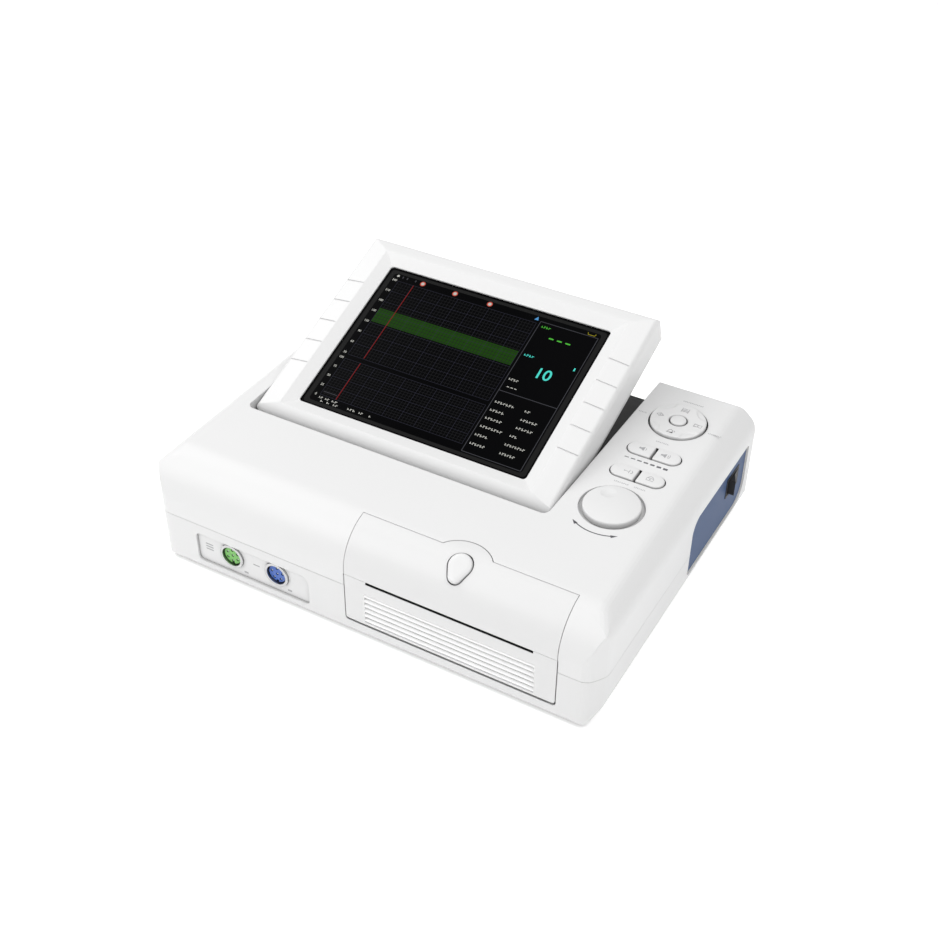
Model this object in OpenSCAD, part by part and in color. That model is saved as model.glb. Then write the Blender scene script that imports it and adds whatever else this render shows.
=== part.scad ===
// Bench-top fetal monitor with a folding display, a strip-chart recorder behind
// a hinged front door, two transducer sockets and a key console.
// Units are millimetres. X runs to the right, Z up from the table, and depths
// run back from the front face; seat() places them about the part's origin.

/* [Case] */
// Width across the side walls
case_w = 330; // [324:1:336]
// Depth from the front face to the rear wall
case_d = 248; // [244:1:252]
// Height of the top face above the table, carried on to the front face
front_h = 80.8; // [79:0.1:82]
// Rise of the top face from front to rear
top_rise = 5.6; // [4:0.1:7]
// Thickness of the case walls
wall = 2.5; // [2.2:0.1:2.8]
// Radius of the rounded front edge
nose_r = 30; // [28:0.5:31]
// Radius of the lower rear edge
heel_r = 16; // [12:1:20]
// Height of the seam between the two case halves
seam_z = 39.7; // [39:0.1:40.5]
// Height of the rubber feet that show below the case
foot_h = 2.5; // [2:0.1:3]

/* [Display] */
// Width of the display housing at its widest
display_w = 229.2; // [227:0.1:229.6]
// Tilt of the display from the table in the stored pose
display_tilt = 20.3; // [19:0.1:22]
// Width of the screen opening
screen_w = 176.3; // [170:0.1:180]
// Height of the screen opening
screen_h = 130.5; // [126:0.1:133]
// Height of the raised frame around the screen, above the opening's edge
frame_rise = 4.2; // [3:0.1:4.6]
// Depth of the housing behind the opening's edge
display_t = 26.2; // [25:0.1:27]
// Radius of the display hinge pins
display_pin_r = 3; // [2.5:0.1:3.2]

/* [Recorder door] */
// Left edge of the door
door_x0 = -11.6; // [-13:0.1:-11]
// Right edge of the door
door_x1 = 137.4; // [136:0.1:138]
// Depth of the cover's rear edge on the top face
door_back = 24.8; // [24:0.1:25.5]
// Height of the seam between the door's cover and its lower panel
door_seam = 49; // [48.5:0.1:49.5]
// Height of the lower panel's bottom edge
door_z0 = 11.4; // [11:0.1:12]
// Gap between the door's lower panel and the case
door_gap = 0.7; // [0.5:0.05:0.8]
// Gap between the door's cover and the case
cover_gap = 0.3; // [0.3:0.05:0.5]
// Ribs in the lower panel
rib_count = 6; // [4:1:7]
// Left end of the paper slot
slot_x0 = 4.2; // [3:0.1:5]
// Right end of the paper slot
slot_x1 = 121.6; // [121:0.1:123]

/* [Recorder drive] */
// Radius of the rubber platen roller
platen_r = 7; // [6.5:0.1:7]
// Teeth on the platen gear
platen_teeth = 24; // [22:1:24]
// Teeth on the idler gear
idler_teeth = 30; // [28:1:30]
// Teeth on the motor pinion
pinion_teeth = 14; // [12:1:14]
// Backlash between meshing teeth
backlash = 0.16; // [0.1:0.02:0.2]

/* [Console] */
// Radius of the control knob
knob_r = 18.6; // [18:0.1:19]
// Length of the outline around a pair of keys
key_pair_l = 38.4; // [37:0.1:40]
// Width of the outline around a pair of keys
key_pair_w = 13.6; // [13:0.1:14]
// Radius of the hole around the navigation ring
nav_r = 20.1; // [19.8:0.1:20.4]
// Travel of the console keys
key_travel = 1; // [0.8:0.1:1.2]

/* [Hidden] */
$fn = 48;

// Colours
white = "whitesmoke";
pale = "gainsboro";
steel = "silver";
dark = [0.12, 0.12, 0.13];
board_green = [0.1, 0.35, 0.22];
slate_blue = [0.36, 0.43, 0.57];

// Case
half_w = case_w / 2;
slope = top_rise / case_d;
slope_a = atan(slope);
nose_z = front_h + slope * nose_r - nose_r / cos(slope_a);
corner_x = 8;
corner_y = 12;
corner_r = 10;
rear_corner_r = 6;
rear_top_r = 5;
front_low_r = 3;
edge_r = 12;
shoulder_z = 72;
shoulder_run = 1.16;
shoulder_tilt = 0.28;
bevel_h = 13.2;
bevel_run = corner_x / bevel_h;
bevel_tilt = 0.65;
seam_gap = 0.1;
over = 20;
far = 400;
post_r = 4;
post_inset = 1.6;
post_xy = [[-152, 20], [152.5, 20], [-152, 230], [152, 230]];
foot_xy = [[-135, 30], [135, 30], [-135, 216], [135, 216]];
foot_r = 9;

// Display, in its own frame: x from its centre, u up its face from the lower
// edge, n out of its face from the plane of the screen opening's edge
display_x = -26.85;
display_y = 85.1;
display_z = 77.9;
screen_u = 82.4;
frame_w = 9.3;
lower_r = 12;
lower_c = [11, frame_rise - lower_r];
rear_lower_r = 14;
rear_lower_c = [13, rear_lower_r - display_t];
part_n = -18.2;
hinge_u = 12.5;
hinge_n = -11;
hinge_dx = 102.5;
display_screw_xu = [[-60, 8.5], [60, 8.5], [-106, 160], [106, 160]];
display_end = [175.1, -24.8];
bracket_z = 52.9;
hinge_y = display_y + hinge_u * cos(display_tilt) - hinge_n * sin(display_tilt);
hinge_z = display_z + hinge_u * sin(display_tilt) + hinge_n * cos(display_tilt);

// Overall depth, with the display's overhang, and overall width, with the mains
// switch's rocker, which centre the part on Y and X
overall_d = display_y + display_end[0] * cos(display_tilt) - display_end[1] * sin(display_tilt);
front_y = -overall_d / 2;
rocker_out = 3.4;
mid_x = -rocker_out / 2;

// Pocket that the display folds into
pocket_x0 = -142.2;
pocket_x1 = 88.4;
pocket_x2 = 92;
pocket_y = 78.8;
pocket_bend = 102;
pocket_z0 = 55.4;
pocket_z1 = 65.3;
pocket_slope = (pocket_z1 - pocket_z0) / (case_d - pocket_bend);

// Door and recorder
tab_x = 63;
tab_y = 11.9;
tab_r = 21.5;
door_t = 3;
door_axis = [3.6, 15];
door_pin_r = 1.25;
door_corner_r = 3.2;
platen_c = [14, 40];
platen_reach = norm(platen_c - door_axis);
platen_away = [platen_c[1] - door_axis[1], door_axis[0] - platen_c[0]] / platen_reach;
gear_m = 0.8;
mesh_slack = 0.08;
idler_c = platen_c + platen_away * (gear_m * (platen_teeth + idler_teeth) / 2 + mesh_slack);
pinion_c = idler_c + [gear_m * (idler_teeth + pinion_teeth) / 2 + mesh_slack, 0];
gear_x0 = 123.6;
gear_x1 = 128.6;
roller_x0 = 5.9;
roller_x1 = 119.9;
arm_x = [[-8.2, -5], [131, 134.2]];
tray_x0 = 3.4;
tray_x1 = 122.4;
head_pivot = [27, 33];
latch_a = 58.5;
latch_c = [28, 70];
latch_stem = 17.9;
latch_gap = 0.75;
drive_x = 141;

// Console
knob_xy = [120.3, 105.2];
knob_well = 2.4;
knob_dome_r = 97;
knob_top = 4.2;
knob_shaft_top = 2;
front_keys_xy = [121.6, 141];
rear_keys_xy = [121.6, 167.5];
nav_xy = [121.7, 207];
board_xy = [123, 161];
mat_xy = [123, 178];
key_split = 1.7;
key_gap = 0.7;
key_top = 1.5;
board_drop = 12;
nav_drop = 5.4;
nav_gap = 1.1;
nav_top = 2.2;
nav_hole_r = 6.3;

// Side panel and switch
panel_y0 = 136;
panel_y1 = 234;
panel_z0 = 21;
panel_z1 = 66;
panel_x = half_w - 1.2;
switch_y = 209.7;
switch_z = 49.9;
switch_pivot_x = 162;
switch_lean = 15;
rocker_l = 8;
rocker_h = 5.9;

// Sockets
socket_xz = [[-102.6, 22.4], [-66.3, 22.7]];
plate_x0 = -130.5;
plate_x1 = -40.6;
plate_z0 = 8.9;
plate_z1 = 31.7;
inlet_x = 96;
inlet_z = 28;
speaker_z = 32;

function top_z(y) = front_h + slope * y;
function polar(r, a) = [r * cos(a), r * sin(a)];
function arc(c, r, a0, a1, n) = [for (k = [0:n]) c + polar(r, a0 + (a1 - a0) * k / n)];
function unit(v) = v / norm(v);
function left_of(v) = [-v[1], v[0]];
function crossed(a, b) = a[0] * b[1] - a[1] * b[0];

// Corner at q between p and s, drawn in by t and rounded by radius r outside
function eased(p, q, s, r, t) =
    let (
        d = unit(q - p),
        e = unit(s - q),
        side = sign(crossed(d, e)),
        a = side * left_of(d),
        b = side * left_of(e),
        bend = atan2(crossed(a, b), a * b),
        start = atan2(-a[1], -a[0]),
        reach = max(r, t),
        c = q + (a + b) * reach / (1 + a * b)
    )
    reach - t < 0.05 ? [c] : arc(c, reach - t, start, start + bend, ceil(abs(bend) / 12));

// The eased corners of a line's inner points, and of a whole outline
function eased_run(pts, radii, t) = [
    for (k = [1:len(pts) - 2]) each eased(pts[k - 1], pts[k], pts[k + 1], radii[k - 1], t)
];
function eased_loop(pts, radii, t) = let (m = len(pts)) [
    for (k = [0:m - 1]) each eased(pts[(k + m - 1) % m], pts[k], pts[(k + 1) % m], radii[k], t)
];

// Placement and plain shapes
module seat() translate([mid_x, front_y, 0]) children();

module along_x(x0, x1) {
    translate([x0, 0, 0]) rotate([90, 0, 90]) linear_extrude(x1 - x0) children();
}

module along_y(y0, y1) {
    translate([0, y1, 0]) rotate([90, 0, 0]) linear_extrude(y1 - y0) children();
}

module box(a, b) translate(a) cube(b - a);

module rod_x(x0, x1, c, r) along_x(x0, x1) translate(c) circle(r);

module rod_y(y0, y1, c, r) along_y(y0, y1) translate(c) circle(r);

module rod_z(z0, z1, c, r) translate([c[0], c[1], z0]) cylinder(h = z1 - z0, r = r);

// Rectangle with its own radius at each corner: lower left, lower right, upper
// right, upper left
module cornered(a, b, r) {
    polygon([
        [a[0] + r[0], a[1]], [b[0] - r[1], a[1]], [b[0] - r[1], a[1] + r[1]],
        [b[0], a[1] + r[1]], [b[0], b[1] - r[2]], [b[0] - r[2], b[1] - r[2]],
        [b[0] - r[2], b[1]], [a[0] + r[3], b[1]], [a[0] + r[3], b[1] - r[3]],
        [a[0], b[1] - r[3]], [a[0], a[1] + r[0]], [a[0] + r[0], a[1] + r[0]]
    ]);
    translate([a[0] + r[0], a[1] + r[0]]) circle(r[0]);
    translate([b[0] - r[1], a[1] + r[1]]) circle(r[1]);
    translate([b[0] - r[2], b[1] - r[2]]) circle(r[2]);
    translate([a[0] + r[3], b[1] - r[3]]) circle(r[3]);
}

module rounded(a, b, r) cornered(a, b, [r, r, r, r]);

// Frame of the console: origin on the top face, with Z square to that face
module on_top(xy) translate([xy[0], xy[1], top_z(xy[1])]) rotate([slope_a, 0, 0]) children();

// Frame of the display's own x, u and n
module on_display() translate([display_x, display_y, display_z]) rotate([display_tilt, 0, 0]) children();

// Frame of the latch: origin on the rounded edge's axis, Z out through the button
module on_latch() translate([tab_x, nose_r, nose_z]) rotate([90 - latch_a, 0, 0]) children();

// Case, drawn in by t on every side
module side_profile(t) {
    polygon(concat(
        eased([0, nose_z], [0, foot_h], [case_d, foot_h], front_low_r, t),
        [[case_d - heel_r, foot_h + t], [case_d - heel_r, foot_h + heel_r], [case_d - t, foot_h + heel_r]],
        eased([case_d, 0], [case_d, top_z(case_d)], [0, top_z(0)], rear_top_r, t),
        [[nose_r - (nose_r - t) * sin(slope_a), nose_z + (nose_r - t) * cos(slope_a)]],
        [[nose_r, nose_z], [t, nose_z]]
    ));
    translate([nose_r, nose_z]) circle(nose_r - t);
    translate([case_d - heel_r, foot_h + heel_r]) circle(heel_r - t);
}

module shoulder_profile(t) {
    x_top = half_w - (150 - shoulder_z) * shoulder_run;
    polygon(eased_loop([
        [-half_w, -over], [half_w, -over], [half_w, shoulder_z],
        [x_top, 150], [-x_top, 150], [-half_w, shoulder_z]
    ], [0, 0, edge_r, 0, 0, edge_r], t));
}

module bevel_profile(t) {
    x_low = half_w - corner_x - (over + foot_h) * bevel_run;
    polygon(eased_loop([
        [-x_low, -over], [x_low, -over], [half_w, foot_h + bevel_h],
        [half_w, 150], [-half_w, 150], [-half_w, foot_h + bevel_h]
    ], [0, 0, edge_r, 0, 0, edge_r], t));
}

module plan_profile(t) {
    x_front = half_w - corner_x;
    polygon(eased_loop([
        [-x_front, 0], [x_front, 0], [half_w, corner_y],
        [half_w, case_d], [-half_w, case_d], [-half_w, corner_y]
    ], [corner_r, corner_r, edge_r, rear_corner_r, rear_corner_r, edge_r], t));
}

module case_solid(t) {
    intersection() {
        along_x(-half_w, half_w) side_profile(t);
        rotate([shoulder_tilt, 0, 0]) along_y(-over, case_d + over) shoulder_profile(t);
        rotate([bevel_tilt, 0, 0]) along_y(-over, case_d + over) bevel_profile(t);
        translate([0, 0, -over]) linear_extrude(150) plan_profile(t);
    }
}

// Rounding of the edge between a shoulder, on the side s, and the face whose
// normal leans forward by a: all that lies inside the chords of the edge's arc
module shoulder_edge(s, a) {
    lean = shoulder_tilt - a;
    level = nose_z * cos(a) + nose_r * (1 - sin(a));
    run = [norm([1, shoulder_run * sin(lean)]), shoulder_run * cos(lean)];
    q = [(half_w + shoulder_run * shoulder_z - run[1] * level) / run[0], level];
    pts = eased(q - [over, 0], q, q + [run[1], -run[0]], edge_r, 0);
    n = len(pts) - 1;
    first = pts[0] + far * unit(pts[0] - pts[1]);
    last = pts[n] + far * unit(pts[n] - pts[n - 1]);
    outline = concat([first], [for (k = [1:n - 1]) pts[k]], [last, [first[0], last[1]]]);
    rotate([a, 0, 0]) rotate([0, 0, -s * atan(shoulder_run * sin(lean))])
        along_y(-far, far) polygon([for (p = outline) [s * p[0], p[1]]]);
}

module case_outer() {
    intersection() {
        case_solid(0);
        shoulder_edge(1, slope_a);
        shoulder_edge(-1, slope_a);
        shoulder_edge(1, 14);
        shoulder_edge(-1, 14);
        shoulder_edge(1, 27);
        shoulder_edge(-1, 27);
    }
}

module case_skin() {
    difference() {
        case_outer();
        case_solid(wall);
    }
}

// Door outline seen from above, grown by g, with the thumb tab in its rear edge
module door_plan(g) {
    a = asin((door_back - tab_y) / (tab_r + g));
    polygon(concat(
        [[door_x0 - g, -over], [door_x1 + g, -over], [door_x1 + g, door_back + g]],
        arc([tab_x, tab_y + g], tab_r + g, a, 180 - a, 16),
        [[door_x0 - g, door_back + g]]
    ));
}

// Door outline seen from the front, grown by g, with lower corners of radius r
module door_front(g, r, top) {
    cornered([door_x0 - g, door_z0 - g], [door_x1 + g, top], [r, r, 0.1, 0.1]);
}

module panel_outline(g) {
    cornered([panel_y0 - g, panel_z0 - g], [panel_y1 + g, panel_z1 + g], [3 + g, 15 + g, 3 + g, 11 + g]);
}

module plate_outline(g) {
    cornered([plate_x0 - g, plate_z0 - g], [plate_x1 + g, plate_z1 + g], [3 + g, 3 + g, 6 + g, 3 + g]);
}

// Case halves
module lower_shell() {
    color(white) seat() difference() {
        union() {
            difference() {
                case_skin();
                box([-over - half_w, -over, seam_z - seam_gap], [half_w + over, case_d + over, 150]);
            }
            intersection() {
                union() {
                    for (p = post_xy) rod_z(foot_h, seam_z - seam_gap, p, post_r);
                    for (x = [door_x0 - door_gap - 11, door_x1 + door_gap])
                        box([x, 0, door_z0 - 2], [x + 11, 7.4, door_z0 + 8]);
                }
                case_solid(0.5);
            }
        }
        door_opening_cuts();
        for (p = post_xy) {
            rod_z(0, seam_z, p, 1.8);
            rod_z(0, foot_h + 4, p, 3.2);
        }
        for (p = foot_xy) rod_z(0, foot_h + 1, p, foot_r + 0.2);
        along_y(-1, wall + 1) plate_outline(0.2);
        along_x(half_w - 5, half_w + 1) panel_outline(0.2);
        along_y(case_d - 5, case_d + 1)
            rounded([inlet_x - 14, inlet_z - 10.3], [inlet_x + 14, inlet_z + 10.3], 2);
        for (k = [0:8]) along_y(case_d - 5, case_d + 1)
            rounded([-120 + 7 * k, 22], [-117 + 7 * k, 36], 1.4);
        for (k = [-2:1]) along_x(-half_w - 1, -half_w + 5)
            rounded([110, speaker_z + 1 + 3.6 * k], [130, speaker_z + 2.8 + 3.6 * k], 0.8);
    }
}

// Front opening with its sloping lip, and the bores of the door's hinge
module door_opening_cuts() {
    along_y(-1, wall + 0.6) door_front(door_gap, door_corner_r - 0.5, 60);
    along_y(0.9, wall + 0.6) door_front(door_gap + 0.9, door_corner_r, door_axis[1]);
    along_x(door_x0 + 4.6, door_x1 - 4.6)
        polygon([[-1, door_z0 - door_gap + 0.4], [wall + 1, 9.4], [wall + 1, 14], [-1, 14]]);
    rod_x(door_x0 - 8, door_x0 + 1, door_axis, door_pin_r + 0.05);
    rod_x(door_x1 - 1, door_x1 + 8, door_axis, door_pin_r + 0.05);
}

module upper_shell() {
    color(white) seat() difference() {
        union() {
            difference() {
                case_skin();
                box([-over - half_w, -over, -over], [half_w + over, case_d + over, seam_z + seam_gap]);
            }
            intersection() {
                pocket(wall);
                case_outer();
            }
            intersection() {
                union() {
                    for (p = post_xy) rod_z(seam_z + seam_gap, 90, p, post_r);
                    for (x = [door_x0 - door_gap - wall, door_x1 + door_gap])
                        box([x, 0, 52], [x + wall, 46, 90]);
                    on_top(knob_xy) translate([0, 0, -knob_well - 1.6]) cylinder(h = 3, r = knob_r + 4.8);
                }
                case_solid(post_inset);
            }
            on_top(board_xy) at_board_screws()
                translate([0, 0, 1.6 - board_drop]) cylinder(h = board_drop - 3, r = 3);
        }
        pocket(0);
        translate([0, 0, 30]) linear_extrude(70) door_plan(cover_gap);
        along_y(-1, wall + 0.6) door_front(door_gap, door_corner_r - 0.5, door_seam);
        for (p = post_xy) rod_z(seam_z - 1, 54, p, 1.5);
        along_x(half_w - 5, half_w + 1) panel_outline(0.2);
        console_cuts();
        at_hinges() box([-5.6, 90, 50], [5.6, 106.4, 58]);
    }
}

// Pocket that the display folds into, grown by t below and beside it
module pocket(t) {
    r = 5 + t;
    intersection() {
        along_x(pocket_x0 - t, pocket_x2 + t + 1) polygon([
            [pocket_y - t, pocket_z0 - t], [pocket_bend, pocket_z0 - t],
            [case_d + over, pocket_z1 - t + over * pocket_slope],
            [case_d + over, 150], [pocket_y - t, 150]
        ]);
        linear_extrude(150) {
            polygon([
                [pocket_x0 - t + r, pocket_y - t], [pocket_x1 + t - r, pocket_y - t],
                [pocket_x1 + t - r, pocket_y - t + r], [pocket_x1 + t, pocket_y - t + r],
                [pocket_x2 + t, case_d], [pocket_x2 + t, case_d + over],
                [pocket_x0 - t, case_d + over], [pocket_x0 - t, pocket_y - t + r],
                [pocket_x0 - t + r, pocket_y - t + r]
            ]);
            translate([pocket_x0 - t + r, pocket_y - t + r]) circle(r);
            translate([pocket_x1 + t - r, pocket_y - t + r]) circle(r);
        }
    }
}

module pill(g) {
    rounded([-key_pair_l / 2 - g, -key_pair_w / 2 - g], [key_pair_l / 2 + g, key_pair_w / 2 + g],
        key_pair_w / 2 + g - 0.01);
}

module console_cuts() {
    on_top(knob_xy) {
        translate([0, 0, -knob_well]) cylinder(h = 6, r = knob_r + 2.6);
        translate([0, 0, -6]) cylinder(h = 9, r = 4);
    }
    for (c = [front_keys_xy, rear_keys_xy]) on_top(c) translate([0, 0, -4]) linear_extrude(8) pill(0);
    on_top(nav_xy) translate([0, 0, -4]) cylinder(h = 8, r = nav_r);
}

module rubber_feet() {
    color(dark) seat() for (p = foot_xy) {
        rod_z(0, foot_h + 1, p, foot_r);
    }
}

module case_screws() {
    color(steel) seat() for (p = post_xy) {
        rod_z(foot_h + 1.6, foot_h + 4, p, 2.9);
        rod_z(foot_h + 4, 52, p, 1.5);
    }
}

// Transducer sockets
module connector_plate() {
    color(white) seat() difference() {
        union() {
            along_y(1.6, 2.7) plate_outline(0);
            along_y(2.6, 4.1) plate_outline(2);
        }
        for (c = socket_xz) rod_y(0, 6, c, 9.3);
    }
}

module socket_shells() {
    color(steel) seat() for (c = socket_xz) difference() {
        union() {
            rod_y(0.2, 20, c, 9.2);
            rod_y(4.2, 6.2, c, 11);
        }
        rod_y(-1, 21, c, 7.4);
    }
}

module socket_insert(c, pins) {
    difference() {
        union() {
            rod_y(1.8, 5, c, 6.5);
            rod_y(4.6, 18, c, 7.35);
        }
        rod_y(1, 10, c, 1);
        for (k = [0:pins - 1]) rod_y(1, 10, c + polar(4.4, 90 + 360 * k / pins), 1);
        translate([c[0] - 1, 1, c[1] - 7.6]) cube([2, 6, 2.6]);
    }
}

module green_socket() {
    color("limegreen") seat() socket_insert(socket_xz[0], 6);
}

module blue_socket() {
    color("royalblue") seat() socket_insert(socket_xz[1], 5);
}

// Side panel with the mains switch
module side_panel() {
    color(slate_blue) seat() difference() {
        union() {
            along_x(panel_x - 1.2, panel_x) panel_outline(0);
            intersection() {
                along_x(panel_x - 2.7, panel_x - 1.4) panel_outline(2);
                case_solid(wall + 0.05);
            }
            along_x(panel_x - 1.5, panel_x - 1.1) panel_outline(-0.5);
        }
        translate([panel_x, switch_y, switch_z]) box([-5, -10.5, -7.7], [1, 10.5, 7.7]);
    }
}

module switch_body() {
    color(dark) seat() translate([0, switch_y, switch_z]) difference() {
        union() {
            box([148, -10.3, -7.5], [panel_x + 0.4, 10.3, 7.5]);
            for (y = [-6, 0, 6]) box([142, y - 0.5, -3], [149, y + 0.5, 3]);
        }
        box([151, -9.3, -6.4], [panel_x + 1, 9.3, 6.4]);
        rod_z(-7.1, 7.1, [switch_pivot_x, 0], 1.55);
    }
}

// Rocker, stored with its rear end pressed in
module switch_rocker() {
    tip = (half_w + rocker_out - switch_pivot_x - rocker_l * sin(switch_lean)) / cos(switch_lean);
    color(dark) seat() translate([switch_pivot_x, switch_y, switch_z]) rotate([0, 0, switch_lean]) {
        translate([0, 0, -rocker_h]) linear_extrude(2 * rocker_h)
            polygon([[-4, -5.5], [tip, -rocker_l], [tip - 1.3, 0], [tip, rocker_l], [-4, 5.5]]);
        rod_z(-6.9, 6.9, [0, 0], 1.5);
    }
}

module mains_inlet() {
    color(dark) seat() {
        difference() {
            union() {
                along_y(case_d - 24, case_d - 0.2)
                    rounded([inlet_x - 13.7, inlet_z - 10], [inlet_x + 13.7, inlet_z + 10], 2);
                along_y(case_d - 4.6, case_d - 2.8)
                    rounded([inlet_x - 15.5, inlet_z - 11.5], [inlet_x + 15.5, inlet_z + 11.5], 2);
            }
            along_y(case_d - 18, case_d + 1)
                rounded([inlet_x - 12, inlet_z - 8.2], [inlet_x + 12, inlet_z + 8.2], 3);
        }
        for (p = [[-7, -1.5], [0, 2], [7, -1.5]]) translate([inlet_x + p[0], case_d, inlet_z + p[1]])
            box([-1, -30, -2], [1, -5.4, 2]);
    }
}

// Electronics
module standoffs(points, z1) for (p = points) rod_z(wall + foot_h, z1, p, 2.5);

module power_supply() {
    color(board_green) seat() {
        box([20, 142, 12], [76, 236, 13.6]);
        standoffs([[24, 146], [72, 146], [24, 228], [72, 228]], 12);
        box([30, 160, 13.6], [62, 190, 40]);
        rod_z(13.6, 38, [34, 206], 8);
        rod_z(13.6, 32, [58, 212], 6);
        box([24, 148, 13.6], [68, 152, 36]);
    }
}

module battery_pack() {
    color("slategray") seat() {
        for (k = [0:3]) rod_y(36, 101, [-56 + 13 * (k % 2) * 1.5, 14.2 + 18.6 * floor(k / 2)], 9.2);
        box([-66, 60, 5], [-27, 64, 42]);
        box([-66, 80, 5], [-27, 84, 42]);
    }
}

module main_board() {
    color(board_green) seat() {
        box([-140, 142, 12], [0, 230, 13.6]);
        standoffs([[-136, 146], [-4, 146], [-136, 226], [-4, 226]], 12);
        box([-96, 170, 13.6], [-66, 200, 16.4]);
        box([-46, 160, 13.6], [-26, 178, 16]);
        box([-46, 190, 13.6], [-26, 208, 16]);
        box([-130, 150, 13.6], [-124, 190, 22]);
    }
}

module signal_board() {
    color(board_green) seat() {
        box([-128, 26, 12], [-72, 92, 13.6]);
        standoffs([[-124, 30], [-76, 30], [-124, 88], [-76, 88]], 12);
        box([-116, 50, 13.6], [-100, 66, 16]);
        box([-92, 50, 13.6], [-82, 74, 20]);
    }
}

module loudspeaker() {
    c = [120, speaker_z];
    color(dark) seat() difference() {
        union() {
            rod_x(-162.3, -159.4, c, 13);
            rod_x(-159.4, -153, c, 11);
            rod_x(-153, -148, c, 8);
        }
        rod_x(-163, -158, c, 10.4);
    }
}

module at_board_screws() for (x = [-21, 21]) for (y = [-67, 67]) translate([x, y, 0]) children();

module key_board() {
    color(board_green) seat() {
        on_top(board_xy) difference() {
            box([-25, -71, -board_drop], [25, 71, 1.6 - board_drop]);
            at_board_screws() translate([0, 0, -board_drop - 1]) cylinder(h = 4, r = 1.3);
        }
        on_top(nav_xy) difference() {
            for (x = [-13, 11]) box([x, -2, 1 - board_drop], [x + 2, 2, 1.2 - nav_drop]);
            rod_x(-14, 14, [0, -nav_drop], 0.85);
        }
    }
}

// Silicone sheet with a plunger under each key
module key_mat() {
    color(pale) seat() {
        difference() {
            on_top(mat_xy) box([-22, -45, 1.6 - board_drop], [22, 45, 2.6 - board_drop]);
            on_top(board_xy) at_board_screws() translate([0, 0, -board_drop]) cylinder(h = 5, r = 4);
            on_top(nav_xy) for (x = [-13.5, 10.5]) box([x, -2.5, -board_drop], [x + 3, 2.5, 0]);
        }
        for (c = [front_keys_xy, rear_keys_xy]) for (s = [-1, 1]) on_top(c)
            translate([s * 10, 0, 2 - board_drop]) cylinder(h = 3.6, r = 3);
        on_top(nav_xy) {
            for (a = [45:90:315]) rotate(a) translate([15, 0, 2 - board_drop]) cylinder(h = 5.4, r = 2);
            translate([0, 0, 2 - board_drop]) cylinder(h = 3.6, r = 3);
        }
    }
}

module encoder() {
    color(steel) seat() on_top(knob_xy) difference() {
        union() {
            translate([-6, -6, -board_drop + 1.6]) cube([12, 12, 5.4]);
            translate([0, 0, -6]) cylinder(h = 3.2, r = 3.6);
        }
        translate([0, 0, -board_drop + 3]) cylinder(h = 14, r = 3.05);
    }
}

module encoder_shaft() {
    bottom = 3.2 - board_drop;
    color(steel) seat() on_top(knob_xy)
        translate([0, 0, bottom]) cylinder(h = knob_shaft_top - bottom, r = 3);
}

// Low domed knob with a bevelled rim, a finger dimple and a socket for the shaft
module control_knob() {
    rim_z = 1.6;
    bottom = 0.4 - knob_well;
    color(white) seat() on_top(knob_xy) difference() {
        intersection() {
            translate([0, 0, bottom]) cylinder(h = 8, r = knob_r);
            translate([0, 0, knob_top - knob_dome_r]) sphere(r = knob_dome_r, $fn = 96);
            translate([0, 0, rim_z - 10]) cylinder(h = 20, r1 = knob_r + 10, r2 = knob_r - 10);
        }
        translate([0, 0, bottom - 1]) cylinder(h = knob_shaft_top + 1 - bottom, r = 3);
        translate([-6.9, 9, 18.1]) sphere(r = 15.5, $fn = 48);
    }
}

// Half of a key pair, on the side that s names
module key_cap(c, s) {
    color(white) seat() on_top(c) {
        translate([0, 0, -3]) linear_extrude(3 + key_top) intersection() {
            pill(-key_gap);
            translate([s > 0 ? key_split / 2 : -over - key_split / 2, -over / 2]) square([over, over]);
        }
        translate([s * 10, 0, -5.2]) cylinder(h = 3, r = 2.4);
    }
}

module event_key() key_cap(front_keys_xy, -1);

module lock_key() key_cap(front_keys_xy, 1);

module quieter_key() key_cap(rear_keys_xy, -1);

module louder_key() key_cap(rear_keys_xy, 1);

// Gimbal ring under the navigation ring, with a pin along each axis
module nav_carrier() {
    color(pale) seat() on_top(nav_xy) difference() {
        union() {
            translate([0, 0, -nav_drop - 1]) cylinder(h = 2, r = 10.4);
            rod_x(-13, 13, [0, -nav_drop], 0.8);
            rod_y(-13, 13, [0, -nav_drop], 0.8);
        }
        translate([0, 0, -nav_drop - 2]) cylinder(h = 4, r = 7.6);
    }
}

module nav_ring() {
    color(white) seat() on_top(nav_xy) difference() {
        union() {
            translate([0, 0, -3.2]) cylinder(h = 3.2 + nav_top, r = nav_r - nav_gap);
            for (y = [-13, 11]) translate([-2, y, -nav_drop - 1.8]) cube([4, 2, nav_drop]);
        }
        translate([0, 0, -4]) cylinder(h = 8, r = nav_hole_r);
        for (a = [45:90:315]) rotate(a) translate([24.3, 0, nav_top + 59.2]) sphere(r = 60, $fn = 96);
        rod_y(-14, 14, [0, -nav_drop], 0.85);
    }
}

module nav_button() {
    color(white) seat() on_top(nav_xy) intersection() {
        translate([0, 0, -5.2]) cylinder(h = 9, r = 5.5);
        translate([0, 0, nav_top + 0.6 - 30]) sphere(r = 30, $fn = 96);
    }
}

// Display hinges
module at_hinges() for (s = [-1, 1]) translate([display_x + s * hinge_dx, 0, 0]) children();

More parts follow.
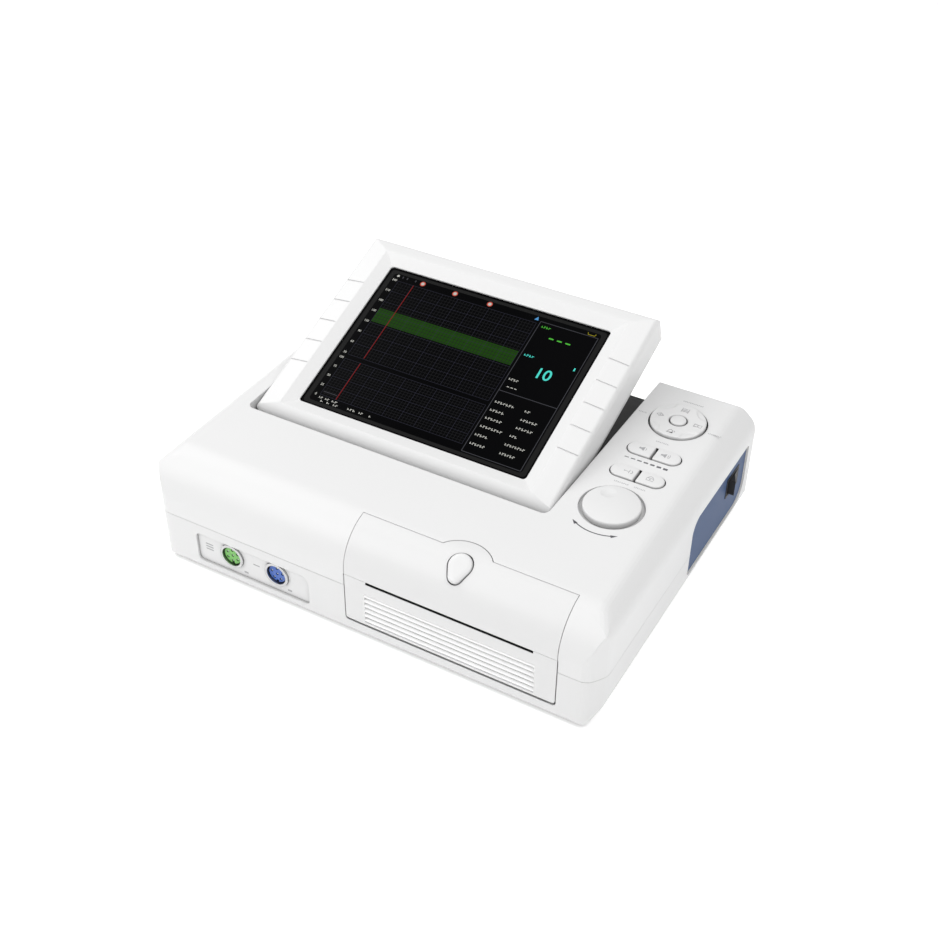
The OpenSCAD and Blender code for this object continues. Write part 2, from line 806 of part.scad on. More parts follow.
module hinge_brackets() {
    color(steel) seat() at_hinges() difference() {
        union() {
            rod_x(-5, 5, [hinge_y, hinge_z], 6.3);
            along_x(-5, 5) polygon([
                [hinge_y - 5, bracket_z], [hinge_y + 4, bracket_z],
                [hinge_y + 5, hinge_z], [hinge_y - 5, hinge_z]
            ]);
            box([-13, 86, bracket_z - 2.4], [13, pocket_bend, bracket_z]);
            box([-5, pocket_bend - 1, bracket_z - 2.4], [5, hinge_y + 4, bracket_z]);
        }
        rod_x(-7, 7, [hinge_y, hinge_z], display_pin_r);
        for (x = [-9, 9]) rod_z(50, 53, [x, 92], 1.6);
    }
}

module hinge_pins() {
    color(steel) seat() at_hinges() rod_x(-8.8, 8.8, [hinge_y, hinge_z], display_pin_r);
}

module hinge_leaves() {
    color(steel) seat() on_display() for (s = [-1, 1]) translate([s * hinge_dx, 0, 0]) difference() {
        union() {
            for (x = [-8, 5.6]) along_x(x, x + 2.4) {
                translate([hinge_u, hinge_n]) circle(6.3);
                polygon([
                    [hinge_u, hinge_n - 6], [26, -23.4], [30, -23.4],
                    [hinge_u + 4, hinge_n + 4.6], [hinge_u, hinge_n + 6]
                ]);
            }
            box([-8, 24, -23.4], [8, 58, -21.4]);
        }
        rod_x(-13, 13, [hinge_u, hinge_n], display_pin_r + 0.05);
        for (u = [38, 52]) rod_z(-24, -20, [0, u], 1.6);
    }
}

// Display housing, drawn in by t: outlines of its upper end and its right side,
// each from a point on the frame to one on the back, with the corners' radii
upper_edge = [
    [100, frame_rise], [157.3, frame_rise], [167, 1.6], [173.5, -10],
    [175.9, -18.2], [175.1, -24.8], [171.5, -display_t], [100, -display_t]
];
upper_edge_r = [18, 4, 16, 8, 0, 3];
side_edge = [
    [0, frame_rise], [97.3, frame_rise], [113.1, 1.6], [114.2, -2],
    [display_w / 2, -18.2], [112.6, -display_t], [0, -display_t]
];
side_edge_r = [26, 3.2, 5, 12, 2.5];
function mirrored(pts) = [for (k = [len(pts) - 1:-1:0]) [-pts[k][0], pts[k][1]]];

module display_side(t) {
    polygon(concat(
        [[lower_c[0], frame_rise - t]],
        eased_run(upper_edge, upper_edge_r, t),
        [[rear_lower_c[0], t - display_t], rear_lower_c],
        [[t - 1, rear_lower_c[1]], [t - 1, lower_c[1]], lower_c]
    ));
    translate(lower_c) circle(lower_r - t);
    translate(rear_lower_c) circle(rear_lower_r - t);
}

module display_solid(t) {
    right = eased_run(side_edge, side_edge_r, t);
    intersection() {
        along_x(-display_w / 2, display_w / 2) display_side(t);
        along_y(-over, 200) polygon(concat(right, mirrored(right)));
        translate([0, 0, -60]) linear_extrude(100)
            cornered([t - display_w / 2, t - 1], [display_w / 2 - t, 176 - t], [6, 6, 10, 10]);
    }
}

// Hollow of the housing, closed off in front by the raised frame
module display_hollow() {
    intersection() {
        display_solid(2.4);
        box([-150, -over, -60], [150, 200, -3]);
    }
}

// Screen opening with its sloping inner edge
module screen_cut() {
    hw = screen_w / 2;
    hh = screen_h / 2;
    k = frame_w / frame_rise;
    translate([0, 0, -8]) linear_extrude(16) rounded([-hw, screen_u - hh], [hw, screen_u + hh], 2.5);
    intersection() {
        along_y(screen_u - 100, screen_u + 100)
            polygon([[-hw, 0], [hw, 0], [hw + 6 * k, 6], [-hw - 6 * k, 6]]);
        along_x(-150, 150) translate([screen_u, 0])
            polygon([[-hh, 0], [hh, 0], [hh + 6 * k, 6], [-hh - 6 * k, 6]]);
    }
    box([-hw - 3.2, screen_u - hh - 3.2, -8], [hw + 3.2, screen_u + hh + 3.2, -1.1]);
}

module hinge_slots() {
    for (s = [-1, 1]) box([s * hinge_dx - 5.6, -over, -40], [s * hinge_dx + 5.6, 19.6, -4]);
}

// Shallow finger grooves down both sides of the frame, along its outer slope
module grip_grooves() {
    fall = atan2(frame_rise - 1.6, 15.8);
    for (k = [0:4]) for (s = [-1, 1])
        translate([s * 106, 45.5 + 19.5 * k, 2.77]) rotate([0, s * fall, 0])
            translate([1.75 * s, 0, 0]) box([-10.25, -0.35, -0.45], [10.25, 0.35, 4]);
}

module at_display_screws() for (p = display_screw_xu) translate([p[0], p[1], 0]) children();

module display_bezel() {
    color(white) seat() on_display() difference() {
        union() {
            difference() {
                display_solid(0);
                display_hollow();
            }
            at_display_screws() translate([0, 0, part_n + 0.2]) cylinder(h = 15.6, r = 3.4);
        }
        box([-150, -over, -60], [150, 200, part_n + 0.1]);
        screen_cut();
        hinge_slots();
        grip_grooves();
        at_display_screws() translate([0, 0, part_n]) cylinder(h = 12, r = 1.5);
    }
}

module display_back() {
    color(white) seat() on_display() difference() {
        union() {
            difference() {
                display_solid(0);
                display_hollow();
            }
            intersection() {
                at_display_screws() translate([0, 0, -40]) cylinder(h = 40 + part_n - 0.2, r = 3.4);
                display_solid(1);
            }
        }
        box([-150, -over, part_n - 0.1], [150, 200, 20]);
        hinge_slots();
        at_display_screws() {
            translate([0, 0, -40]) cylinder(h = 30, r = 1.8);
            translate([0, 0, -40]) cylinder(h = 42 - display_t, r = 3.1);
        }
    }
}

module display_screws() {
    color(steel) seat() on_display() at_display_screws() {
        translate([0, 0, 0.4 - display_t]) cylinder(h = 1.6, r = 2.9);
        translate([0, 0, 2 - display_t]) cylinder(h = 16, r = 1.5);
    }
}

module display_window() {
    hw = screen_w / 2 + 2.9;
    hh = screen_h / 2 + 2.9;
    color([0.03, 0.03, 0.04]) seat() on_display()
        box([-hw, screen_u - hh, -2.6], [hw, screen_u + hh, -1.15]);
}

module lcd_module() {
    color(steel) seat() on_display() {
        box([-92.5, screen_u - 68, -12], [92.5, screen_u + 68, -3.1]);
        box([-60, 16.6, -13.5], [60, 40, -12]);
    }
}

module display_board() {
    color(board_green) seat() on_display() {
        box([-60, 66, -18], [60, 136, -16.4]);
        for (x = [-56, 56]) for (u = [70, 132]) translate([x, u, -16.4]) cylinder(h = 4.4, r = 2.5);
        box([-20, 84, -20.4], [8, 112, -18]);
        box([30, 74, -21.5], [50, 128, -18]);
    }
}

// Paper tray and print head
module paper_tray() {
    color(pale) seat() difference() {
        box([tray_x0, 9, wall + foot_h], [tray_x1, 114, 30]);
        box([tray_x0 + 2, 8, 8], [tray_x1 - 2, 112, 31]);
        box([tray_x0 - 1, 60, 22], [tray_x1 + 1, 90, 31]);
    }
}

module head_bracket() {
    color(steel) seat() difference() {
        union() {
            for (x = [tray_x0, tray_x1 - 2]) box([x, 23, 30], [x + 2, 42, 51]);
            box([tray_x0, 40, 31], [tray_x1, 42, 51]);
        }
        rod_x(tray_x0 - 1, tray_x1 + 1, head_pivot, 1.55);
    }
}

// Ceramic heater bar on its aluminium carrier, which rocks on a cross pin
module print_head() {
    color("dimgray") seat() {
        box([roller_x0, 21.4, 31.5], [roller_x1, 23, 49]);
        box([roller_x0, 23, 30.5], [roller_x1, 30, 49]);
        rod_x(tray_x0 + 0.2, tray_x1 - 0.2, head_pivot, 1.5);
    }
}

// Coil spring: length h along Z, mean radius r, wire radius w
function coil_ring(a, r, w, h, turns) = [
    for (k = [0:5]) let (b = 60 * k)
        [(r + w * cos(b)) * cos(a), (r + w * cos(b)) * sin(a), h * a / (360 * turns) + w * sin(b)]
];
module coil_spring(h, r, w, turns) {
    rings = 10 * turns;
    pts = [for (i = [0:rings]) each coil_ring(360 * turns * i / rings, r, w, h, turns)];
    sides = [
        for (i = [0:rings - 1]) for (k = [0:5]) let (a = 6 * i + k, b = 6 * i + (k + 1) % 6)
            each [[a, b, b + 6], [a, b + 6, a + 6]]
    ];
    first = [for (k = [1:4]) [0, k + 1, k]];
    n = 6 * rings;
    last = [for (k = [1:4]) [n, n + k, n + k + 1]];
    polyhedron(points = pts, faces = concat(first, sides, last), convexity = 10);
}

module head_springs() {
    color(steel) seat() for (x = [36, 90])
        translate([x, 39.6, 44]) rotate([90, 0, 0]) coil_spring(7.8, 2.6, 0.35, 5);
}

// Gear outline from involute flanks
function rise(r, rb) = let (t = sqrt(max(0, r * r / (rb * rb) - 1))) t * 180 / PI - atan(t);
function gear_outline(n) =
    let (
        rp = gear_m * n / 2,
        rb = rp * cos(20),
        ra = rp + gear_m,
        rr = rp - 1.25 * gear_m,
        base = (PI * gear_m / 2 - backlash) / (2 * rp) * 180 / PI + rise(rp, rb),
        radii = [for (k = [0:4]) max(rb, rr) + (ra - max(rb, rr)) * k / 4]
    ) [
        for (i = [0:n - 1]) let (c = 360 * i / n) each concat(
            [polar(rr, c - base)],
            [for (k = [0:4]) polar(radii[k], c - base + rise(radii[k], rb))],
            [for (k = [4:-1:0]) polar(radii[k], c + base - rise(radii[k], rb))],
            [polar(rr, c + base)]
        )
    ];

module gear(c, n, phase, bore) {
    along_x(gear_x0, gear_x1) translate(c) rotate(phase) difference() {
        polygon(gear_outline(n));
        circle(bore);
    }
}

away_a = atan2(platen_away[1], platen_away[0]);
idler_phase = away_a + 180 + 180 / idler_teeth;
idler_offset = idler_phase - (360 / idler_teeth) * round(idler_phase * idler_teeth / 360);
pinion_phase = 180 - idler_offset * idler_teeth / pinion_teeth + 180 / pinion_teeth;

module drive_bracket() {
    color(steel) seat() difference() {
        union() {
            along_x(drive_x, drive_x + 2) polygon([[24, 7], [76, 7], [76, 50], [52, 50], [24, 42]]);
            box([drive_x - 12, 60, wall + foot_h], [drive_x + 2, 76, 7]);
            box([drive_x, 24, wall + foot_h], [drive_x + 2, 76, 7]);
        }
        rod_x(drive_x - 1, drive_x + 3, pinion_c, 5);
        rod_x(drive_x - 1, drive_x + 3, idler_c, 2);
        rod_z(0, 10, [drive_x - 6, 68], 1.6);
    }
}

module stepper_motor() {
    color("dimgray") seat() difference() {
        union() {
            rod_x(drive_x + 2, drive_x + 19, pinion_c, 17.5);
            along_x(drive_x + 2, drive_x + 3.2) for (s = [-1, 1]) {
                translate(pinion_c + [21 * s, 0]) circle(4);
                translate(pinion_c + [min(0, 21 * s), -4]) square([21, 8]);
            }
        }
        rod_x(drive_x + 1, drive_x + 16, pinion_c, 1.55);
        for (s = [-1, 1]) rod_x(drive_x + 1, drive_x + 4, pinion_c + [21 * s, 0], 1.6);
    }
}

module idler_axle() {
    color(steel) seat() {
        rod_x(gear_x0 - 0.6, drive_x + 2, idler_c, 2);
        rod_x(gear_x1 + 0.3, drive_x, idler_c, 3);
    }
}

module idler_gear() {
    color(pale) seat() gear(idler_c, idler_teeth, idler_phase, 2.05);
}

module motor_pinion() {
    color(steel) seat() {
        gear(pinion_c, pinion_teeth, pinion_phase, 1.5);
        rod_x(gear_x0 - 0.4, drive_x + 15.5, pinion_c, 1.5);
    }
}

// Recorder door
// Outline of the latch button, grown by g
module egg(g) {
    upper = [0, 1.5];
    lower = [0, -5.55];
    r1 = 7.7 + g;
    r2 = 4.8 + g;
    a = asin((r1 - r2) / (upper[1] - lower[1]));
    polygon(concat(arc(upper, r1, -a, 180 + a, 20), arc(lower, r2, 180 + a, 360 - a, 10)));
}

module door_cover() {
    color(white) seat() difference() {
        intersection() {
            case_skin();
            translate([0, 0, door_seam + 0.1]) linear_extrude(60) door_plan(0);
        }
        on_latch() translate([0, 0, 20]) linear_extrude(20) egg(latch_gap);
    }
}

module door_panel() {
    ribs_z0 = 13.7;
    ribs_z1 = 38.3;
    pitch = (ribs_z1 - ribs_z0) / rib_count;
    color(white) seat() difference() {
        union() {
            difference() {
                union() {
                    along_y(0, door_t) door_front(0, door_corner_r, door_seam - 0.1);
                    for (x = [door_x0 + 0.2, door_x1 - 6.2]) box([x, door_t - 0.3, 12], [x + 6, 7, 18.6]);
                }
                along_y(-1, 2.3) rounded([2.6, ribs_z0], [123, ribs_z1], 0.8);
            }
            for (k = [0:rib_count - 1]) rod_x(2.6, 123, [1.45, ribs_z0 + (k + 0.5) * pitch], 1.3);
        }
        along_x(door_x0 - 1, door_x1 + 1) polygon([[-1, 10], [1.6, 10], [-0.01, 13]]);
        rod_x(door_x0 - 1, door_x0 + 7, door_axis, door_pin_r);
        rod_x(door_x1 - 7, door_x1 + 1, door_axis, door_pin_r);
        box([slot_x0, -1, door_seam - 2.2], [slot_x1, 5, door_seam + 1]);
    }
}

// Inner frame: two arms that carry the platen, tied by two bars, and two ears
// that carry the latch
module door_frame() {
    color(pale) seat() difference() {
        union() {
            for (x = arm_x) intersection() {
                along_x(x[0], x[1])
                    polygon([[door_t, 20], [12, 20], [24, 34], [24, 72], [18, 80], [door_t, 80]]);
                case_solid(wall + 0.05);
            }
            box([arm_x[0][0], door_t + 0.5, 20], [arm_x[1][1], door_t + 2.5, 24]);
            box([arm_x[0][0], 16, 57], [arm_x[1][1], 24, 59.4]);
            for (x = [tab_x - 8.4, tab_x + 6]) along_x(x, x + 2.4)
                polygon([[15, 58], [24, 58], [32, 66], [32, 73.6], [24, 73.6], [13, 67]]);
            on_latch() difference() {
                translate([-8.4, -4, 18.4]) cube([16.8, 8, 1.4]);
                translate([0, 0, 17]) cylinder(h = 5, r = 2.7);
            }
        }
        for (x = arm_x) rod_x(x[0] - 1, x[1] + 1, platen_c, 4);
        rod_x(tab_x - 9, tab_x + 9, latch_c, 1.5);
    }
}

module door_hinge_pins() {
    color(steel) seat() {
        rod_x(door_x0 - 7.5, door_x0 + 6.4, door_axis, door_pin_r);
        rod_x(door_x1 - 6.4, door_x1 + 7.5, door_axis, door_pin_r);
    }
}

module platen_bushes() {
    color("goldenrod") seat() for (x = arm_x) difference() {
        union() {
            rod_x(x[0], x[1], platen_c, 4);
            rod_x(x[0] < 0 ? x[1] : x[0] - 0.8, x[0] < 0 ? x[1] + 0.8 : x[0], platen_c, 5);
        }
        rod_x(x[0] - 1, x[1] + 1, platen_c, 2.55);
    }
}

module platen_shaft() {
    color(steel) seat() rod_x(arm_x[0][0] - 0.6, arm_x[1][1] + 0.6, platen_c, 2.5);
}

module platen_roller() {
    color(dark) seat() difference() {
        rod_x(roller_x0, roller_x1, platen_c, platen_r);
        rod_x(roller_x0 - 1, roller_x1 + 1, platen_c, 2.5);
    }
}

module platen_gear() {
    color(pale) seat() gear(platen_c, platen_teeth, away_a, 2.5);
}

// Latch
module latch_button() {
    color(white) seat() on_latch() {
        for (step = [[0, 0.7], [-0.6, 1.3], [-1.5, 1.7]]) intersection() {
            translate([0, 0, 24.6]) linear_extrude(8) egg(step[0]);
            rod_x(-over, over, [0, 0], nose_r + step[1]);
        }
        translate([0, 0, latch_stem]) cylinder(h = 25 - latch_stem, r = 2.5);
    }
}

module latch_hook() {
    color(steel) seat() difference() {
        along_x(tab_x - 5, tab_x + 5) {
            polygon([
                [19.4, 63.4], [24, 65], [30, 68.2], [33.4, 72.7], [38, 72.7], [38, 74.2],
                [32.4, 74.2], [27, 73.1], [25.2, 71.4], [24.7, 68.5], [23.3, 67.4],
                [20.7, 66.6], [18.6, 65.3]
            ]);
            translate(latch_c) circle(3.2);
        }
        rod_x(tab_x - 6, tab_x + 6, latch_c, 1.55);
    }
}

module latch_pin() {
    color(steel) seat() rod_x(tab_x - 8.4, tab_x + 8.4, latch_c, 1.5);
}

module latch_spring() {
    color(steel) seat() on_latch() translate([0, 0, 20.1]) coil_spring(2.4, 3.6, 0.3, 2);
}

module latch_strike() {
    color(steel) seat() translate([tab_x, 0, 0]) {
        box([-10, 34.5, 70], [10, 36.3, 72]);
        for (x = [-10, 8]) box([x, 34.5, 70], [x + 2, 46, 79]);
        for (x = [-16, 8]) box([x, 36, 77.6], [x + 8, 46, 79]);
    }
}

lower_shell();
upper_shell();
rubber_feet();
case_screws();
connector_plate();
socket_shells();
green_socket();
blue_socket();
side_panel();
switch_body();
switch_rocker();
mains_inlet();
power_supply();
battery_pack();
main_board();
signal_board();
loudspeaker();
key_board();
key_mat();
encoder();
encoder_shaft();
control_knob();
event_key();
lock_key();
quieter_key();
louder_key();
nav_carrier();
nav_ring();
nav_button();
hinge_brackets();
hinge_pins();
hinge_leaves();
display_bezel();
display_back();
display_window();
lcd_module();
display_board();
display_screws();
paper_tray();
head_bracket();
print_head();
head_springs();
drive_bracket();
stepper_motor();
idler_axle();
idler_gear();
motor_pinion();
door_cover();
door_panel();
door_frame();
door_hinge_pins();
platen_bushes();
platen_shaft();
platen_roller();
platen_gear();
latch_button();
latch_hook();
latch_pin();
latch_spring();
latch_strike();
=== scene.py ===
"""Looks of a bench-top fetal monitor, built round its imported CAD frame."""
import logging
import math
from dataclasses import dataclass, field
from enum import Enum, IntEnum
from typing import Callable, Sequence

import bmesh
import bpy
from bpy.types import ID, Material, Mesh, NodeOutputs, NodeSocket, NodeTree, Object
from mathutils import Matrix, Vector


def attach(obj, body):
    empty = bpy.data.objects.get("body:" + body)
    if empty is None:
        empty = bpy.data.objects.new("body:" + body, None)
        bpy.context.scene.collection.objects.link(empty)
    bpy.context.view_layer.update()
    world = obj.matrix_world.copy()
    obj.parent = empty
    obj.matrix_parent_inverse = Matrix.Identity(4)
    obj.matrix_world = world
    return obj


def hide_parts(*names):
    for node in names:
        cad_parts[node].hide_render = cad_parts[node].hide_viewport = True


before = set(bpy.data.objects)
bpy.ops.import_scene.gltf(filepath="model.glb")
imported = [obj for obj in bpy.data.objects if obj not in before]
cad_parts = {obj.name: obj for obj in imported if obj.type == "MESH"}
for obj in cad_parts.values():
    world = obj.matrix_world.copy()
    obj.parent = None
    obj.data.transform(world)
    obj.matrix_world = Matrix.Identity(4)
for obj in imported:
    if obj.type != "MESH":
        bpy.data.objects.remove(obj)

LOG = logging.getLogger("fetal_monitor")
MM = 0.001
Point = tuple[float, float]
Point3 = tuple[float, float, float]
Outline = list[Point]
Given = NodeSocket | float | tuple[float, ...]

# Case and display measures that the placed pieces share, in millimetres
MID_X = -1.7
FRONT_Y = -128.964178
TOP_Z = 80.8
TOP_SLOPE = 5.6 / 248
NOSE_Z = 51.469772
KNOB_AT = (120.3, 105.2)
FRONT_KEYS_AT = (121.6, 141.0)
REAR_KEYS_AT = (121.6, 167.5)
NAV_AT = (121.7, 207.0)
LATCH_X = 63.0
KEY_LINE = 0.35
PRINT_HEIGHT = 0.04

# Angle above which an edge stays sharp, in degrees
SHARP = 35.0


def case_point(x: float, depth: float, z: float) -> Point3:
    """Gives the place at a distance right of the case's centre and behind its front face."""
    return MID_X + x, FRONT_Y + depth, z


def turned_place(x: float, depth: float, z: float, turn: float) -> Matrix:
    """Gives a frame on the case that is turned about X by an angle in radians."""
    return Matrix.Translation(case_point(x, depth, z)) @ Matrix.Rotation(turn, 4, "X")


def console_place(x: float, depth: float) -> Matrix:
    """Gives the frame on the sloping top face whose Z is square to it."""
    return turned_place(x, depth, TOP_Z + TOP_SLOPE * depth, math.atan(TOP_SLOPE))


CASE_PLACE = Matrix.Translation(case_point(0.0, 0.0, 0.0))
DISPLAY_PLACE = turned_place(-26.85, 85.1, 77.9, math.radians(20.3))
LATCH_PLACE = turned_place(LATCH_X, 30.0, NOSE_Z, math.radians(31.5))
SIDE_TURN = Matrix(((0, 0, 1, 0), (1, 0, 0, 0), (0, 1, 0, 0), (0, 0, 0, 1)))
FRONT_TURN = Matrix(((1, 0, 0, 0), (0, 0, -1, 0), (0, 1, 0, 0), (0, 0, 0, 1)))


# ---------------- outlines


def polar(radius: float, degrees: float) -> Point:
    """Gives the point at a radius and an angle."""
    angle = math.radians(degrees)
    return radius * math.cos(angle), radius * math.sin(angle)


def arc(centre: Point, radius: float, start: float, end: float, steps: int) -> Outline:
    """Gives points along an arc, ends included, from one angle in degrees to another."""
    turns = (polar(radius, start + (end - start) * k / steps) for k in range(steps + 1))
    return [(centre[0] + x, centre[1] + y) for x, y in turns]


def circle(radius: float, steps: int = 64, centre: Point = (0.0, 0.0)) -> Outline:
    """Gives a closed circle of points without a repeated end."""
    return arc(centre, radius, 0.0, 360.0 - 360.0 / steps, steps - 1)


def rounded_rectangle(low: Point, high: Point, *radii: float) -> Outline:
    """Gives a rectangle with rounded corners, anticlockwise.

    Args:
        low: Lower left corner.
        high: Upper right corner.
        radii: One radius for all corners, or one each from the lower left, anticlockwise.

    Returns:
        The outline.
    """
    corners = ((low[0], low[1], 1, 1, 180), (high[0], low[1], -1, 1, 270),
               (high[0], high[1], -1, -1, 0), (low[0], high[1], 1, -1, 90))
    points: Outline = []
    for (x, y, sx, sy, a), r in zip(corners, radii * (4 // len(radii))):
        points += arc((x + sx * r, y + sy * r), r, a, a + 90, 8)
    return points


def bar(x: float, y: float, width: float, height: float) -> Outline:
    """Gives a plain rectangle about a centre."""
    signs = ((-1, -1), (1, -1), (1, 1), (-1, 1))
    return [(x + sx * width / 2, y + sy * height / 2) for sx, sy in signs]


def word_blocks(x: float, y: float, width: float, height: float, pitch: float) -> list[Outline]:
    """Gives a run of plain blocks in the place of a word: upright ones with short ones between.

    Args:
        x: Left end.
        y: Height of the middle.
        width: Length of the run.
        height: Height of the upright blocks, of which every third is lower.
        pitch: Distance between two upright blocks, about which the run is divided evenly.

    Returns:
        The blocks' outlines.
    """
    count = max(1, round(width / pitch))
    step = width / count
    blocks = []
    for k in range(count):
        left = x + step * k
        tall = height * (1.0 if k % 3 else 0.82)
        blocks.append(bar(left + step * 0.22, y, step * 0.26, tall))
        shift = 0.26 if k % 2 else -0.2
        blocks.append(bar(left + step * 0.62, y + shift * tall, step * 0.34, tall * 0.3))
    return blocks


def stroke(path: Sequence[Point], width: float) -> Outline:
    """Gives the outline of a line of even width.

    Args:
        path: Points along the line's centre.
        width: Width of the line.

    Returns:
        The closed outline.
    """
    left: Outline = []
    right: Outline = []
    for k, p in enumerate(path):
        a = path[max(k - 1, 0)]
        b = path[min(k + 1, len(path) - 1)]
        d = Vector((b[0] - a[0], b[1] - a[1])).normalized() * (width / 2)
        left.append((p[0] - d.y, p[1] + d.x))
        right.append((p[0] + d.y, p[1] - d.x))
    return left + right[::-1]


def egg(grown: float) -> Outline:
    """Gives the latch button's drop-shaped outline.

    Args:
        grown: Margin by which the outline is grown.

    Returns:
        The outline.
    """
    upper, lower = (0.0, 1.5), (0.0, -5.55)
    r1, r2 = 7.7 + grown, 4.8 + grown
    a = math.degrees(math.asin((r1 - r2) / (upper[1] - lower[1])))
    return arc(upper, r1, -a, 180 + a, 40) + arc(lower, r2, 180 + a, 360 - a, 20)


# ---------------- finishes


class Wiring:
    """Puts nodes into a tree and feeds their inputs."""

    def __init__(self, tree: NodeTree) -> None:
        """Starts with a tree."""
        self.tree = tree

    def feed(self, socket: NodeSocket, given: Given) -> None:
        """Links a source to an input, or sets the input's value.

        Args:
            socket: The input.
            given: An output to link from, or a value.
        """
        if isinstance(given, NodeSocket):
            self.tree.links.new(given, socket)
        else:
            socket.default_value = given

    def add(self, kind: str, inputs: dict[str | int, Given],
            **settings: object) -> NodeOutputs:
        """Adds a node.

        Args:
            kind: Type of the node.
            inputs: Source or value of each input that isn't left as it is.
            settings: The node's own settings, made before its inputs are fed.

        Returns:
            The node's outputs.
        """
        node = self.tree.nodes.new(kind)
        for label, value in settings.items():
            setattr(node, label, value)
        for label, given in inputs.items():
            self.feed(node.inputs[label], given)
        return node.outputs

    def calculated(self, operation: str, *terms: Given) -> NodeSocket:
        """Gives the result of a calculation with numbers."""
        return self.add("ShaderNodeMath", dict(enumerate(terms)), operation=operation)[0]

    def vector(self, operation: str, a: Given, b: Given) -> NodeSocket:
        """Gives the result of a calculation with vectors.

        Args:
            operation: Kind of the calculation.
            a: First vector.
            b: Second vector, or the factor where the first one is scaled.

        Returns:
            The result, a number where the operation measures.
        """
        second = "Scale" if operation == "SCALE" else 1
        result = "Value" if operation in ("DISTANCE", "DOT_PRODUCT") else "Vector"
        return self.add("ShaderNodeVectorMath", {0: a, second: b}, operation=operation)[result]

    def mixed(self, factor: Given, a: Given, b: Given) -> NodeSocket:
        """Gives the mix of two colours."""
        inputs = {"Factor": factor, "A": a, "B": b}
        return self.add("ShaderNodeMix", inputs, data_type="RGBA")["Result"]


class SharedEffect(Wiring):
    """Shader group with named sockets that several finishes share."""

    def __init__(self, name: str, inputs: dict[str, float | tuple[float, ...]]) -> None:
        """Starts a group with a Vector input.

        Args:
            name: Name of the group.
            inputs: Default of each further input, which gives its kind.
        """
        super().__init__(bpy.data.node_groups.new(name, "ShaderNodeTree"))
        new_socket = self.tree.interface.new_socket
        for label, value in {"Vector": (0.0, 0.0, 0.0), **inputs}.items():
            kind = "Float" if isinstance(value, float) else {3: "Vector", 4: "Color"}[len(value)]
            socket = new_socket(label, in_out="INPUT", socket_type="NodeSocket" + kind)
            socket.default_value = value
        self.given = self.add("NodeGroupInput", {})

    def closed(self, **results: NodeSocket) -> NodeTree:
        """Feeds the group's outputs.

        Args:
            results: Source of each output, by the output's name.

        Returns:
            The finished group.
        """
        for label in results:
            kind = "NodeSocketColor" if label == "Colour" else "NodeSocketFloat"
            self.tree.interface.new_socket(label, in_out="OUTPUT", socket_type=kind)
        self.add("NodeGroupOutput", results)
        return self.tree


